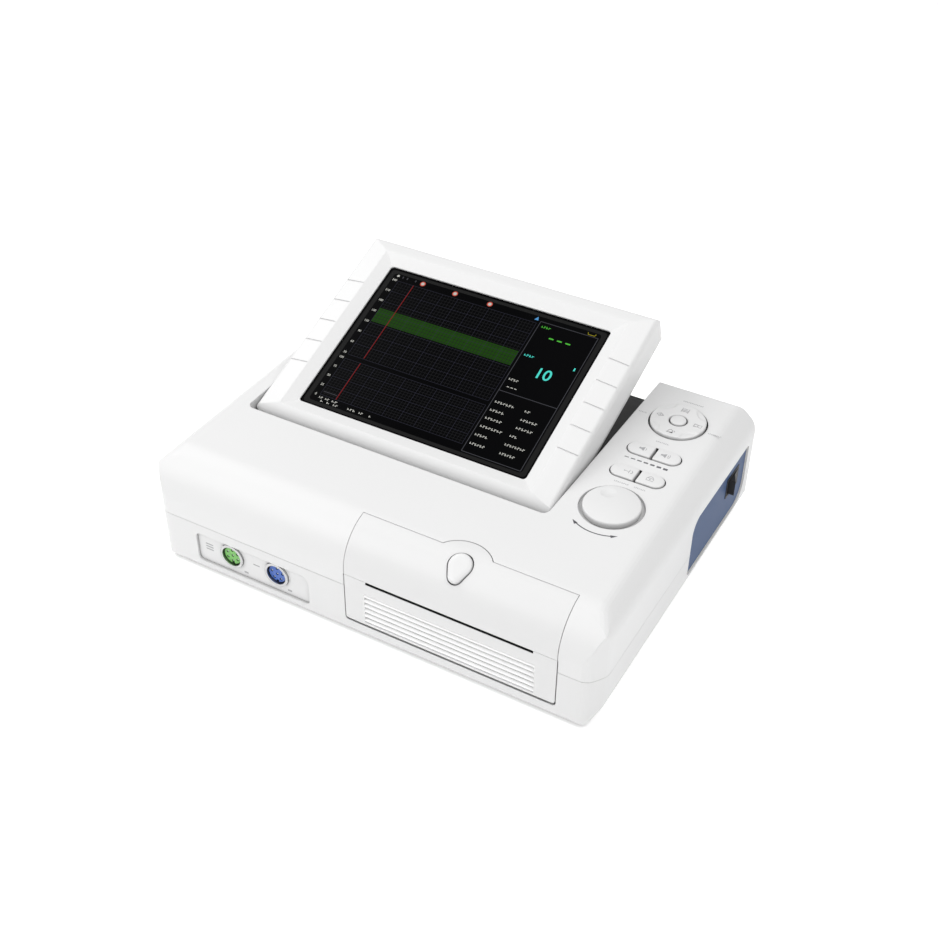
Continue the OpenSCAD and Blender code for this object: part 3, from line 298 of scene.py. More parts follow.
class Effects:
    """Every shared effect, built once."""

    def __init__(self) -> None:
        """Builds the groups."""
        self.moulded = self._moulded()
        self.region = self._region()
        self.brushed = self._brushed()
        self.pixels = self._pixels()
        self.traces = self._traces()

    @staticmethod
    def _moulded() -> NodeTree:
        """Fine grain, slight flow marks and painted shade that darkens crevices, for plastic and
        rubber.

        Returns:
            The group.
        """
        effect = SharedEffect("moulded_surface", {
            "Colour": (0.8, 0.8, 0.8, 1.0), "Grain Scale": 2200.0, "Mottle": 0.02,
            "Roughness": 0.4, "Roughness Spread": 0.06, "Crevice": 0.35, "Crevice Reach": 0.004})
        given, number = effect.given, effect.calculated
        # Ambient occlusion gives painted shade: the colour darkens in crevices, gaps and recesses
        # by the Crevice amount.
        open_sky = effect.add("ShaderNodeAmbientOcclusion", {"Distance": given["Crevice Reach"]},
                              samples=6)["AO"]
        painted_crevice_shade = number("MULTIPLY", number("SUBTRACT", 1.0, open_sky), given["Crevice"])
        grain = effect.add("ShaderNodeTexNoise", {
            "Vector": given["Vector"], "Scale": given["Grain Scale"], "Detail": 3.0})["Fac"]
        flow = effect.add("ShaderNodeTexNoise", {
            "Vector": given["Vector"], "Scale": 14.0, "Detail": 4.0})["Fac"]
        centred = number("SUBTRACT", flow, 0.5)
        shade = number("MULTIPLY_ADD", centred, given["Mottle"], 1.0)
        level = number("MULTIPLY", shade, number("SUBTRACT", 1.0, painted_crevice_shade))
        rough = number("MULTIPLY_ADD", centred, given["Roughness Spread"], given["Roughness"])
        tinted = effect.vector("SCALE", given["Colour"], level)
        return effect.closed(Colour=tinted, Roughness=rough, Height=grain)

    @staticmethod
    def _region() -> NodeTree:
        """Mask of what lies inside a box and below a level measured along a direction.

        Returns:
            The group.
        """
        effect = SharedEffect("region_mask", {
            "Low": (0.0, 0.0, 0.0), "High": (0.1, 0.1, 0.1), "Up": (0.0, 0.0, 1.0), "Level": 0.1})
        given, vector, number = effect.given, effect.vector, effect.calculated
        boxed = vector("MINIMUM", vector("MAXIMUM", given["Vector"], given["Low"]), given["High"])
        inside = number("LESS_THAN", vector("DISTANCE", given["Vector"], boxed), 1e-6)
        height = vector("DOT_PRODUCT", given["Vector"], given["Up"])
        below = number("LESS_THAN", height, given["Level"])
        return effect.closed(Mask=number("MULTIPLY", inside, below))

    @staticmethod
    def _brushed() -> NodeTree:
        """Fine lines along one axis, for drawn and brushed metal.

        Returns:
            The group.
        """
        effect = SharedEffect("brushed_lines", {
            "Colour": (0.6, 0.6, 0.6, 1.0), "Stretch": (60.0, 4000.0, 4000.0), "Depth": 0.15,
            "Roughness": 0.3})
        given, number = effect.given, effect.calculated
        stretched = effect.vector("MULTIPLY", given["Vector"], given["Stretch"])
        lines = effect.add("ShaderNodeTexNoise", {
            "Vector": stretched, "Scale": 1.0, "Detail": 2.0})["Fac"]
        centred = number("SUBTRACT", lines, 0.5)
        shade = number("MULTIPLY_ADD", centred, given["Depth"], 1.0)
        rough = number("MULTIPLY_ADD", centred, given["Depth"], given["Roughness"])
        tinted = effect.vector("SCALE", given["Colour"], shade)
        return effect.closed(Colour=tinted, Roughness=rough, Height=lines)

    @staticmethod
    def _pixels() -> NodeTree:
        """Rows of picture elements, for lit marks on the screen.

        Returns:
            The group.
        """
        effect = SharedEffect("picture_elements", {
            "Colour": (1.0, 1.0, 1.0, 1.0), "Pitch Scale": 1400.0, "Unevenness": 0.25})
        given, number = effect.given, effect.calculated
        rows = effect.add("ShaderNodeTexWave", {
            "Vector": given["Vector"], "Scale": given["Pitch Scale"]}, bands_direction="X")["Fac"]
        level = number("SUBTRACT", 1.0, number("MULTIPLY", rows, given["Unevenness"]))
        return effect.closed(Colour=effect.vector("SCALE", given["Colour"], level))

    @staticmethod
    def _traces() -> NodeTree:
        """Copper tracks and solder pads under lacquer, for circuit boards.

        Returns:
            The group.
        """
        effect = SharedEffect("board_tracks", {
            "Lacquer": (0.02, 0.14, 0.07, 1.0), "Track": (0.05, 0.26, 0.14, 1.0),
            "Track Scale": 260.0})
        given = effect.given
        cells = effect.add("ShaderNodeTexVoronoi", {
            "Vector": given["Vector"], "Scale": given["Track Scale"]},
            distance="MANHATTAN", feature="F1")["Distance"]
        mask = effect.add("ShaderNodeMapRange", {
            "Value": cells, "From Min": 0.42, "From Max": 0.48})["Result"]
        colour = effect.mixed(mask, given["Lacquer"], given["Track"])
        return effect.closed(Colour=colour, Height=mask)


EFFECTS = Effects()


class Paint(Wiring):
    """Node material with its main shader and its Object coordinates."""

    def __init__(self, name: str) -> None:
        """Starts a material of a name."""
        self.material = bpy.data.materials.new(name)
        self.material.use_nodes = True
        super().__init__(self.material.node_tree)
        self.coordinates = self.add("ShaderNodeTexCoord", {})["Object"]

    def effect(self, group: NodeTree, values: dict[str, Given]) -> NodeOutputs:
        """Puts a shared effect into the material with the material's own values."""
        inputs = {"Vector": self.coordinates, **values}
        return self.add("ShaderNodeGroup", inputs, node_tree=group)

    def shade(self, inputs: dict[str, Given]) -> None:
        """Feeds inputs of the main shader."""
        for label, given in inputs.items():
            self.feed(self.tree.nodes["Principled BSDF"].inputs[label], given)

    def bump(self, height: NodeSocket, strength: float, soften_mm: float) -> None:
        """Feeds the shader's normal from a bump on softened edges.

        Args:
            height: Socket that gives the bump's height.
            strength: Strength of the bump.
            soften_mm: Radius that edges appear to have, or 0 for sharp edges.
        """
        inputs: dict[str, Given] = {"Strength": strength, "Distance": 0.00004, "Height": height}
        if soften_mm > 0:
            inputs["Normal"] = self.add("ShaderNodeBevel", {"Radius": soften_mm * MM},
                                        samples=6)["Normal"]
        self.shade({"Normal": self.add("ShaderNodeBump", inputs)["Normal"]})


@dataclass(frozen=True)
class PaintedLightRegion:
    """Part of a surface painted a darker or lighter tone that stands in for shade or light: inside
    a box and below a sloping level.
    """

    tone: float
    low: Point3
    high: Point3
    slope: float = 0.0
    level: float = 1000.0

    def inputs(self) -> dict[str, Given]:
        """Gives the mask group's input values in metres."""
        return {"Low": tuple(v * MM for v in self.low), "High": tuple(v * MM for v in self.high),
                "Up": (0.0, -self.slope, 1.0), "Level": self.level * MM}


@dataclass(frozen=True)
class Moulded:
    """Finish of a moulded plastic or rubber piece."""

    name: str
    colour: Point3
    roughness: float = 0.42
    mottle: float = 0.015
    grain_scale: float = 2200.0
    bump: float = 0.25
    specular: float = 0.5
    soften_mm: float = 0.4
    # Strength of the painted shade that darkens crevices, gaps and recesses
    crevice_shade: float = 0.2
    painted_light_regions: tuple[PaintedLightRegion, ...] = ()

    def build(self) -> Material:
        """Builds the material.

        Returns:
            The material.
        """
        paint = Paint(self.name)
        surface = paint.effect(EFFECTS.moulded, {
            "Colour": (*self.colour, 1.0), "Grain Scale": self.grain_scale,
            "Mottle": self.mottle, "Roughness": self.roughness, "Crevice": self.crevice_shade})
        colour = surface["Colour"]
        # Each region paints a darker or lighter tone that stands in for shade or light
        for region in self.painted_light_regions:
            mask = paint.effect(EFFECTS.region, region.inputs())["Mask"]
            colour = paint.mixed(mask, colour, (*grey(region.tone), 1.0))
        paint.shade({"Base Color": colour, "Roughness": surface["Roughness"],
                     "Specular IOR Level": self.specular})
        paint.bump(surface["Height"], self.bump, self.soften_mm)
        return paint.material


@dataclass(frozen=True)
class Metal:
    """Finish of a drawn, brushed or plated metal piece."""

    name: str
    colour: Point3
    roughness: float = 0.32
    depth: float = 0.12
    stretch: Point3 = (60.0, 4000.0, 4000.0)
    bump: float = 0.3
    soften_mm: float = 0.2

    def build(self) -> Material:
        """Builds the material.

        Returns:
            The material.
        """
        paint = Paint(self.name)
        surface = paint.effect(EFFECTS.brushed, {
            "Colour": (*self.colour, 1.0), "Stretch": self.stretch, "Depth": self.depth,
            "Roughness": self.roughness})
        paint.shade({"Base Color": surface["Colour"], "Roughness": surface["Roughness"],
                     "Metallic": 1.0})
        paint.bump(surface["Height"], self.bump, self.soften_mm)
        return paint.material


@dataclass(frozen=True)
class Board:
    """Finish of a lacquered circuit board with its components."""

    name: str
    lacquer: Point3
    track: Point3
    roughness: float = 0.35
    bump: float = 0.4

    def build(self) -> Material:
        """Builds the material.

        Returns:
            The material.
        """
        paint = Paint(self.name)
        surface = paint.effect(EFFECTS.traces, {
            "Lacquer": (*self.lacquer, 1.0), "Track": (*self.track, 1.0)})
        paint.shade({"Base Color": surface["Colour"], "Roughness": self.roughness})
        paint.bump(surface["Height"], self.bump, 0.0)
        return paint.material


@dataclass(frozen=True)
class Lit:
    """Finish of a mark that the screen lights."""

    name: str
    colour: Point3
    strength: float = 1.0
    roughness: float = 0.25
    specular: float = 0.02

    def build(self) -> Material:
        """Builds the material.

        Returns:
            The material.
        """
        paint = Paint(self.name)
        lit = paint.effect(EFFECTS.pixels, {"Colour": (*self.colour, 1.0)})
        paint.shade({"Base Color": (0.0, 0.0, 0.0, 1.0), "Roughness": self.roughness,
                     "Specular IOR Level": self.specular, "Emission Color": lit["Colour"],
                     "Emission Strength": self.strength})
        return paint.material


def grey(tone: float) -> Point3:
    """Gives a neutral colour."""
    return tone, tone, tone


FLOOR_SLOPE = 0.0678
# Painted shade: the pocket floor under the display is painted near-black where it lies in shadow
POCKET_FLOOR_PAINTED_SHADE = PaintedLightRegion(0.03, case_point(-142.6, 79.0, 54.5), case_point(93.0, 249.0, 68.0),
                      FLOOR_SLOPE, 57.2 - FLOOR_SLOPE * (FRONT_Y + 102.0))
# Painted shade: the walls of the wells round the keys and ring are painted near-black where shade
# falls
KEY_WELL_PAINTED_SHADE = PaintedLightRegion(0.05, case_point(97.0, 130.0, 78.0), case_point(146.0, 232.0, 87.0),
                   TOP_SLOPE, TOP_Z - 0.3 - TOP_SLOPE * FRONT_Y)
# Painted shade: the inner walls of the paper slot are painted near-black
PAPER_SLOT_PAINTED_SHADE = PaintedLightRegion(0.01, case_point(4.1, 0.3, 46.7), case_point(121.7, 5.3, 50.1))
# Painted light: the grille ribs are painted a lighter tone than the panel round them
GRILLE_RIB_PAINTED_LIGHT = PaintedLightRegion(0.86, case_point(2.5, -0.5, 13.6), case_point(123.1, 2.5, 38.4))


class Finish(Enum):
    """Every finish of the monitor."""

    # crevice_shade sets how strongly each finish paints shade into its crevices
    CASE = Moulded("case_plastic", grey(0.68), 0.45, soften_mm=0.7, crevice_shade=0.35)
    # louvre_plastic carries the painted light on the grille ribs and the painted shade in the paper
    # slot
    LOUVRE = Moulded("louvre_plastic", grey(0.67), 0.45, soften_mm=0.2, crevice_shade=0.0,
                     painted_light_regions=(GRILLE_RIB_PAINTED_LIGHT, PAPER_SLOT_PAINTED_SHADE))
    # upper_case_plastic carries the painted shade on the pocket floor and in the key wells
    UPPER = Moulded("upper_case_plastic", grey(0.70), 0.45, soften_mm=0.7,
                    painted_light_regions=(POCKET_FLOOR_PAINTED_SHADE, KEY_WELL_PAINTED_SHADE))
    FRAME = Moulded("display_plastic", grey(0.705), soften_mm=0.9, crevice_shade=0.0)
    KEY = Moulded("key_plastic", grey(0.69), 0.38, soften_mm=0.0, crevice_shade=0.5)
    PANEL = Moulded("blue_panel", (0.050, 0.088, 0.184), 0.45, specular=0.12, soften_mm=0.3)
    RIM = Moulded("panel_rim", (0.72, 0.68, 0.62), 0.4, soften_mm=0.0)
    BLACK = Moulded("black_plastic", (0.018, 0.018, 0.02), 0.35)
    CHARCOAL = Moulded("rocker_plastic", (0.03, 0.03, 0.032), 0.5, specular=0.25, soften_mm=0.5)
    RUBBER = Moulded("foot_rubber", (0.025, 0.025, 0.027), 0.75, grain_scale=900.0, bump=0.5)
    SILICONE = Moulded("silicone", (0.55, 0.56, 0.55), 0.6, soften_mm=0.3)
    INNER = Moulded("inner_plastic", (0.45, 0.46, 0.47), 0.5)
    GEAR = Moulded("gear_plastic", (0.74, 0.71, 0.60), 0.4, soften_mm=0.1)
    GREEN = Moulded("green_insert", (0.15, 0.44, 0.09), 0.3, soften_mm=0.2)
    BLUE = Moulded("blue_insert", (0.03, 0.105, 0.42), 0.3, soften_mm=0.2)
    FILM = Moulded("battery_film", (0.06, 0.12, 0.22), 0.3, grain_scale=400.0, soften_mm=0.2)
    INK = Moulded("printed_ink", (0.12, 0.12, 0.13), 0.5, soften_mm=0.0)
    PALE_INK = Moulded("pale_ink", (0.34, 0.34, 0.35), 0.5, soften_mm=0.0)
    GLASS = Moulded("screen_glass", (0.0015, 0.0015, 0.0018), 0.2, grain_scale=5000.0, bump=0.02,
                    specular=0.012, soften_mm=0.0)
    MASK = Moulded("screen_mask", grey(0.008), 0.5, specular=0.06, soften_mm=0.0)
    STEEL = Metal("steel", (0.60, 0.60, 0.61))
    RING = Metal("plated_ring", grey(0.50), 0.35, stretch=grey(900.0))
    ALLOY = Metal("alloy", (0.70, 0.70, 0.71), 0.38)
    BRASS = Metal("brass", (0.70, 0.50, 0.22), 0.3)
    CONTACT = Metal("contact_metal", (0.42, 0.43, 0.42), 0.35, stretch=grey(800.0))
    MOTOR = Metal("motor_can", (0.10, 0.10, 0.11), 0.4, stretch=(4000.0, 60.0, 60.0))
    BOARD = Board("circuit_board", (0.02, 0.12, 0.06), (0.05, 0.24, 0.12))
    LIT_WHITE = Lit("lit_white", (0.80, 0.80, 0.74), 0.75)
    LIT_DIM = Lit("lit_dim", (0.12, 0.12, 0.14), 0.5)
    LIT_GRID = Lit("lit_grid", (0.030, 0.030, 0.045))
    LIT_DOTS = Lit("lit_dots", (0.016, 0.016, 0.018))
    LIT_GREEN = Lit("lit_green", (0.013, 0.060, 0.004))
    LIT_LIME = Lit("lit_lime", (0.10, 0.60, 0.06), 0.9)
    LIT_TEAL = Lit("lit_teal", (0.09, 0.80, 0.68))
    LIT_RED = Lit("lit_red", (0.25, 0.010, 0.008))
    LIT_CORAL = Lit("lit_coral", (0.62, 0.10, 0.07))
    LIT_BLUE = Lit("lit_blue", (0.10, 0.35, 0.70))
    LIT_YELLOW = Lit("lit_yellow", (0.35, 0.30, 0.02))


MATERIALS = {finish: finish.value.build() for finish in Finish}


# ---------------- meshes


def new_object(name: str, data: ID) -> Object:
    """Makes an object of some data and links it to the scene.

    Args:
        name: Name of the object.
        data: Its mesh, text, light or camera.

    Returns:
        The object.
    """
    made = bpy.data.objects.new(name, data)
    bpy.context.scene.collection.objects.link(made)
    return made


def evaluated_mesh(source: Object) -> Mesh:
    """Gives the plain mesh that an object's modifiers or text make."""
    bpy.context.view_layer.update()
    evaluated = source.evaluated_get(bpy.context.evaluated_depsgraph_get())
    return bpy.data.meshes.new_from_object(evaluated)


def finish_mesh(name: str, mesh: Mesh, finishes: Sequence[Finish],
                sharp: float = SHARP) -> Object:
    """Cleans a mesh, turns its faces outwards, and links it as an object.

    Args:
        name: Name of the piece.
        mesh: Mesh in metres, in the part's frame.
        finishes: Finishes, one per slot.
        sharp: Angle above which an edge stays sharp, in degrees.

    Returns:
        The new object.
    """
    work = bmesh.new()
    work.from_mesh(mesh)
    bmesh.ops.remove_doubles(work, verts=work.verts, dist=1e-7)
    bmesh.ops.recalc_face_normals(work, faces=work.faces)
    for polygon in work.faces:
        polygon.smooth = True
    work.to_mesh(mesh)
    work.free()
    mesh.set_sharp_from_angle(angle=math.radians(sharp))
    indices = [polygon.material_index for polygon in mesh.polygons]
    mesh.materials.clear()
    for finish in finishes:
        mesh.materials.append(MATERIALS[finish])
    mesh.polygons.foreach_set("material_index", indices)
    return new_object(name, mesh)


def raised(outline: Outline, z: float) -> list[Point3]:
    """Gives an outline's points at a height."""
    return [(x, y, z) for x, y in outline]


class Sketch:
    """Collects the points and faces of one piece in its own frame, in millimetres."""

    def __init__(self, place: Matrix) -> None:
        """Starts an empty piece whose points are given in the frame place."""
        self.place = place
        self.points: list[Vector] = []
        self.faces: list[tuple[int, ...]] = []
        self.slots: list[int] = []

    def stack(self, loops: Sequence[Sequence[Point3]], slot: int = 0, capped: bool = True) -> None:
        """Lofts through loops of points.

        Args:
            loops: Loops of points, all of one length.
            slot: Material slot of the faces.
            capped: Whether both ends are capped. If not, the last loop joins the first.
        """
        rings = []
        for points in loops:
            rings.append(range(len(self.points), len(self.points) + len(points)))
            self.points += [Vector(p) for p in points]
        made = []
        for a, b in zip(rings, rings[1:] if capped else rings[1:] + rings[:1]):
            made += [(a[k], a[(k + 1) % len(a)], b[(k + 1) % len(a)], b[k]) for k in range(len(a))]
        if capped:
            made += [tuple(rings[0][::-1]), tuple(rings[-1])]
        self.faces += made
        self.slots += [slot] * len(made)

    def prism(self, outline: Outline, low: float, high: float, slot: int = 0) -> None:
        """Extrudes an outline between two heights."""
        self.stack([raised(outline, low), raised(outline, high)], slot)

    def turned(self, profile: Sequence[Point], steps: int = 64, centre: Point = (0.0, 0.0),
               capped: bool = True) -> None:
        """Turns a profile of radius and height about Z, into a ring if it isn't capped."""
        self.stack([raised(circle(r, steps, centre), z) for r, z in profile], capped=capped)

    def band(self, outer: Outline, inner: Outline, low: float, high: float) -> None:
        """Extrudes the strip between two outlines of one length."""
        self.stack([raised(outer, low), raised(outer, high), raised(inner, high),
                    raised(inner, low)], capped=False)

    def crowned(self, outline: Callable[[float], Outline], low: float, high: float, edge: float,
                crown: float, inset: float) -> None:
        """Makes a key cap: straight walls, a rounded edge and a crowned top.

        Args:
            outline: Function from growth to outline.
            low: Height of the bottom.
            high: Height of the top at its rounded edge.
            edge: Radius of the rounded edge.
            crown: Rise of the middle above the edge.
            inset: Inset of the innermost loop.
        """
        rows = [(0.0, low), (0.0, high - edge)]
        for a in (22.5, 45, 67.5, 90):
            c, s = polar(1.0, a)
            rows.append((edge * (1 - c), high - edge + edge * s))
        steps = 8
        for k in range(1, steps + 1):
            t = k / steps
            rows.append((edge + (inset - edge) * t, high + crown * (1 - (1 - t) ** 2)))
        self.stack([raised(outline(-d), z) for d, z in rows])

    def finished(self, name: str, *finishes: Finish, sharp: float = SHARP) -> Object:
        """Makes the object, with its place in its mesh and its faces outwards.

        Args:
            name: Name of the piece.
            finishes: Finishes, one per slot.
            sharp: Angle above which an edge stays sharp, in degrees.

        Returns:
            The new object.
        """
        mesh = bpy.data.meshes.new(name)
        to_metres = Matrix.Scale(MM, 4) @ self.place
        mesh.from_pydata([to_metres @ p for p in self.points], [], self.faces)
        mesh.polygons.foreach_set("material_index", self.slots)
        return finish_mesh(name, mesh, finishes, sharp)


class RepeatTree:
    """Geometry Nodes that put a copy of one mesh on every point of another."""

    def __init__(self) -> None:
        """Builds the tree with named inputs for the copied mesh, its size and its finish."""
        self.tree = bpy.data.node_groups.new("copies_on_points", "GeometryNodeTree")
        for label, kind in (("Geometry", "Geometry"), ("Copied Piece", "Object"),
                            ("Copy Size", "Float"), ("Finish", "Material")):
            self.tree.interface.new_socket(label, in_out="INPUT", socket_type="NodeSocket" + kind)
        self.tree.interface.new_socket("Geometry", in_out="OUTPUT",
                                       socket_type="NodeSocketGeometry")
        wiring = Wiring(self.tree)
        given = wiring.add("NodeGroupInput", {})
        copied = wiring.add("GeometryNodeObjectInfo", {"Object": given["Copied Piece"]},
                            transform_space="ORIGINAL")
        placed = wiring.add("GeometryNodeInstanceOnPoints", {
            "Points": given["Geometry"], "Instance": copied["Geometry"],
            "Scale": given["Copy Size"]})
        real = wiring.add("GeometryNodeRealizeInstances", {"Geometry": placed["Instances"]})
        dressed = wiring.add("GeometryNodeSetMaterial", {
            "Geometry": real["Geometry"], "Material": given["Finish"]})
        wiring.add("NodeGroupOutput", {"Geometry": dressed["Geometry"]})

    def copies(self, name: str, sketch: Sketch, points: Sequence[Point3], place: Matrix,
               finish: Finish) -> Object:
        """Puts a copy of a sketch on each point and turns the result into a plain mesh.

        Args:
            name: Name of the piece.
            sketch: The copied piece, drawn about its own origin in a frame without a shift.
            points: Places of the copies in the frame place, in millimetres.
            place: Frame of the points.
            finish: Finish of the copies.

        Returns:
            The finished object.
        """
        copied = sketch.finished(name + "_copied", finish)
        base_mesh = bpy.data.meshes.new(name + "_points")
        base_mesh.from_pydata([(place @ Vector(p)) * MM for p in points], [], [])
        base = new_object(name + "_points", base_mesh)
        modifier = base.modifiers.new("copies", "NODES")
        modifier.node_group = self.tree
        values = {"Copied Piece": copied, "Copy Size": 1.0, "Finish": MATERIALS[finish]}
        for item in self.tree.interface.items_tree:
            if item.in_out == "INPUT" and item.name in values:
                modifier[item.identifier] = values[item.name]
        mesh = evaluated_mesh(base)
        mesh.name = name
        base.modifiers.clear()
        bpy.data.objects.remove(base)
        bpy.data.objects.remove(copied)
        return finish_mesh(name, mesh, [finish])


REPEAT = RepeatTree()


class Body(Enum):
    """CAD bodies that pieces ride on."""

    BASE = "base"
    DISPLAY = "display"
    KNOB = "knob"
    EVENT_KEY = "event_key"
    LOCK_KEY = "lock_key"
    QUIETER_KEY = "quieter_key"
    LOUDER_KEY = "louder_key"
    NAV_RING = "nav_ring"
    NAV_BUTTON = "nav_button"
    LATCH_BUTTON = "latch_button"


class Slot(Enum):
    """The record's material slots, one named for each piece."""

    CASE = "case_plastic"
    KEY = "key_plastic"
    BLACK = "black_plastic"
    GLASS = "screen_glass"
    STEEL = "steel"
    BRASS = "brass"
    RUBBER = "rubber"


def place_piece(piece: Object, body: Body, slot: Slot, *replaced: str) -> None:
    """Makes a piece ride on its body and reports it.

    Args:
        piece: The finished piece.
        body: The body that it moves with.
        slot: Its material slot; not used.
        replaced: CAD nodes that it stands for.
    """
    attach(piece, body.value)
    if replaced:
        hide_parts(*replaced)
    LOG.info("%s on %s, %d faces", piece.name, body.value, len(piece.data.polygons))


# ---------------- console


@dataclass
class ControlKnob:
    """Low domed knob with a finger dimple."""

    radius: float = 18.6
    bottom: float = -2.0
    chamfer: float = 0.4
    dome_radius: float = 97.0
    dome_top: float = 4.2
    dimple_at: Point = (-6.9, 9.0)
    dimple_radius: float = 15.5
    dimple_height: float = 18.1
    dimple_edge: float = 0.15
    edge: float = 1.0
    edge_drop: float = 1.15
    steps: int = 128
    rows: int = 44

    def dome(self, x: float, y: float) -> float:
        """Gives the height of the dome with its dimple.

        Args:
            x: Distance to the right of the knob's axis.
            y: Distance behind it.

        Returns:
            The height.
        """
        top = self.dome_top - self.dome_radius + math.sqrt(self.dome_radius ** 2 - (x * x + y * y))
        d = math.hypot(x - self.dimple_at[0], y - self.dimple_at[1])
        if d < self.dimple_radius:
            bowl = self.dimple_height - math.sqrt(self.dimple_radius ** 2 - d * d)
            top = min(top, bowl) if top - bowl > -self.dimple_edge else top
        return top

    def build(self) -> None:
        """Builds the knob."""
        rim = self.radius - self.edge
        drop = self.edge * self.edge_drop
        z_rim = self.dome(rim, 0.0)
        rows = [(self.radius - self.chamfer, self.bottom),
                (self.radius, self.bottom + self.chamfer), (self.radius, z_rim - drop)]
        for a in (25, 50, 75):
            c, s = polar(1.0, a)
            rows.append((rim + self.edge * c, z_rim - drop * (1 - s)))
        loops = [raised(circle(r, self.steps), z) for r, z in rows]
        for k in range(self.rows):
            outline = circle(rim * (1 - k / self.rows), self.steps)
            loops.append([(x, y, self.dome(x, y)) for x, y in outline])
        sketch = Sketch(console_place(*KNOB_AT))
        sketch.stack(loops)
        place_piece(sketch.finished("knob_cap", Finish.KEY), Body.KNOB, Slot.KEY, "control_knob")


@dataclass
class KeyPairs:
    """Two pairs of split keys with their pictograms."""

    half_length: float = 18.5
    half_width: float = 6.1
    split: float = 0.85
    bottom: float = -3.0
    top: float = 1.2
    edge: float = 0.9
    crown: float = 0.3
    inset: float = 4.8
    corner: float = 0.9
    stem_x: float = 10.0
    stem_radius: float = 2.4
    stem_bottom: float = -5.2

    def outline(self, side: int, grown: float) -> Outline:
        """Gives the outline of one key of a pair.

        Args:
            side: -1 for the left key and 1 for the right.
            grown: Margin by which the outline is grown.

        Returns:
            The outline.
        """
        r = self.half_width + grown
        corner = min(self.corner, r)
        inner = self.split - grown + corner
        points = (arc((self.half_length - self.half_width, 0.0), r, -90, 90, 32)
                  + arc((inner, r - corner), corner, 90, 180, 6)
                  + arc((inner, corner - r), corner, 180, 270, 6))
        return points if side > 0 else [(-x, y) for x, y in points[::-1]]

    def key(self, node: str, at: Point, side: int, marks: list[Outline], body: Body) -> None:
        """Builds one key with its pictogram.

        Args:
            node: The CAD node that the key stands for.
            at: Place of the pair on the console.
            side: -1 for the left key and 1 for the right.
            marks: Outlines of the pictogram in the pair's frame.
            body: The body that the key rides on.
        """
        sketch = Sketch(console_place(*at))
        sketch.crowned(lambda grown: self.outline(side, grown), self.bottom, self.top, self.edge,
                       self.crown, self.inset)
        sketch.turned([(self.stem_radius, self.stem_bottom), (self.stem_radius, self.bottom + 0.2)],
                      32, (side * self.stem_x, 0.0))
        for mark in marks:
            sketch.prism(mark, self.top, self.top + self.crown + PRINT_HEIGHT, 1)
        piece = sketch.finished(node + "_cap", Finish.KEY, Finish.PALE_INK)
        place_piece(piece, body, Slot.KEY, node)

    @staticmethod
    def speaker(x: float, waves: int) -> list[Outline]:
        """Draws the pictogram of a loudspeaker.

        Args:
            x: Place of the cone on the key.
            waves: Number of sound waves in front of it.

        Returns:
            The pictogram's outlines.
        """
        marks = [[(x - 3.2, -0.8), (x - 1.7, -0.8), (x - 1.7, 0.8), (x - 3.2, 0.8)],
                 [(x - 1.6, -0.9), (x + 0.4, -2.1), (x + 0.4, 2.1), (x - 1.6, 0.9)]]
        return marks + [stroke(arc((x + 0.2, 0.0), 1.6 + 1.2 * k, -45, 45, 8), KEY_LINE)
                        for k in range(waves)]

    def build(self) -> None:
        """Builds the four keys."""
        arrow = [[(-9.4, -0.6), (-8.0, 0.0), (-9.4, 0.6)], *(stroke(path, KEY_LINE) for path in (
            [(-8.0, 0.0), (-6.2, 0.0)],
            [(-5.6, 2.0), (-6.0, 1.2), (-5.6, 0.4), (-6.0, -0.6), (-5.6, -1.6)],
            [(-4.4, 1.6), (-3.4, 0.0), (-4.4, -1.6)]))]
        lock = [*(stroke(path, 0.38) for path in (
            arc((8.9, 0.5), 1.7, 0, 180, 12), [(6.6, 0.4), (11.2, 0.4)],
            [(6.6, 0.4), (6.6, -2.0), (11.2, -2.0), (11.2, 0.4)])), bar(8.9, -0.8, 0.8, 0.9)]
        self.key("event_key", FRONT_KEYS_AT, -1, arrow, Body.EVENT_KEY)
        self.key("lock_key", FRONT_KEYS_AT, 1, lock, Body.LOCK_KEY)
        self.key("quieter_key", REAR_KEYS_AT, -1, self.speaker(-7.4, 1), Body.QUIETER_KEY)
        self.key("louder_key", REAR_KEYS_AT, 1, self.speaker(8.0, 2), Body.LOUDER_KEY)


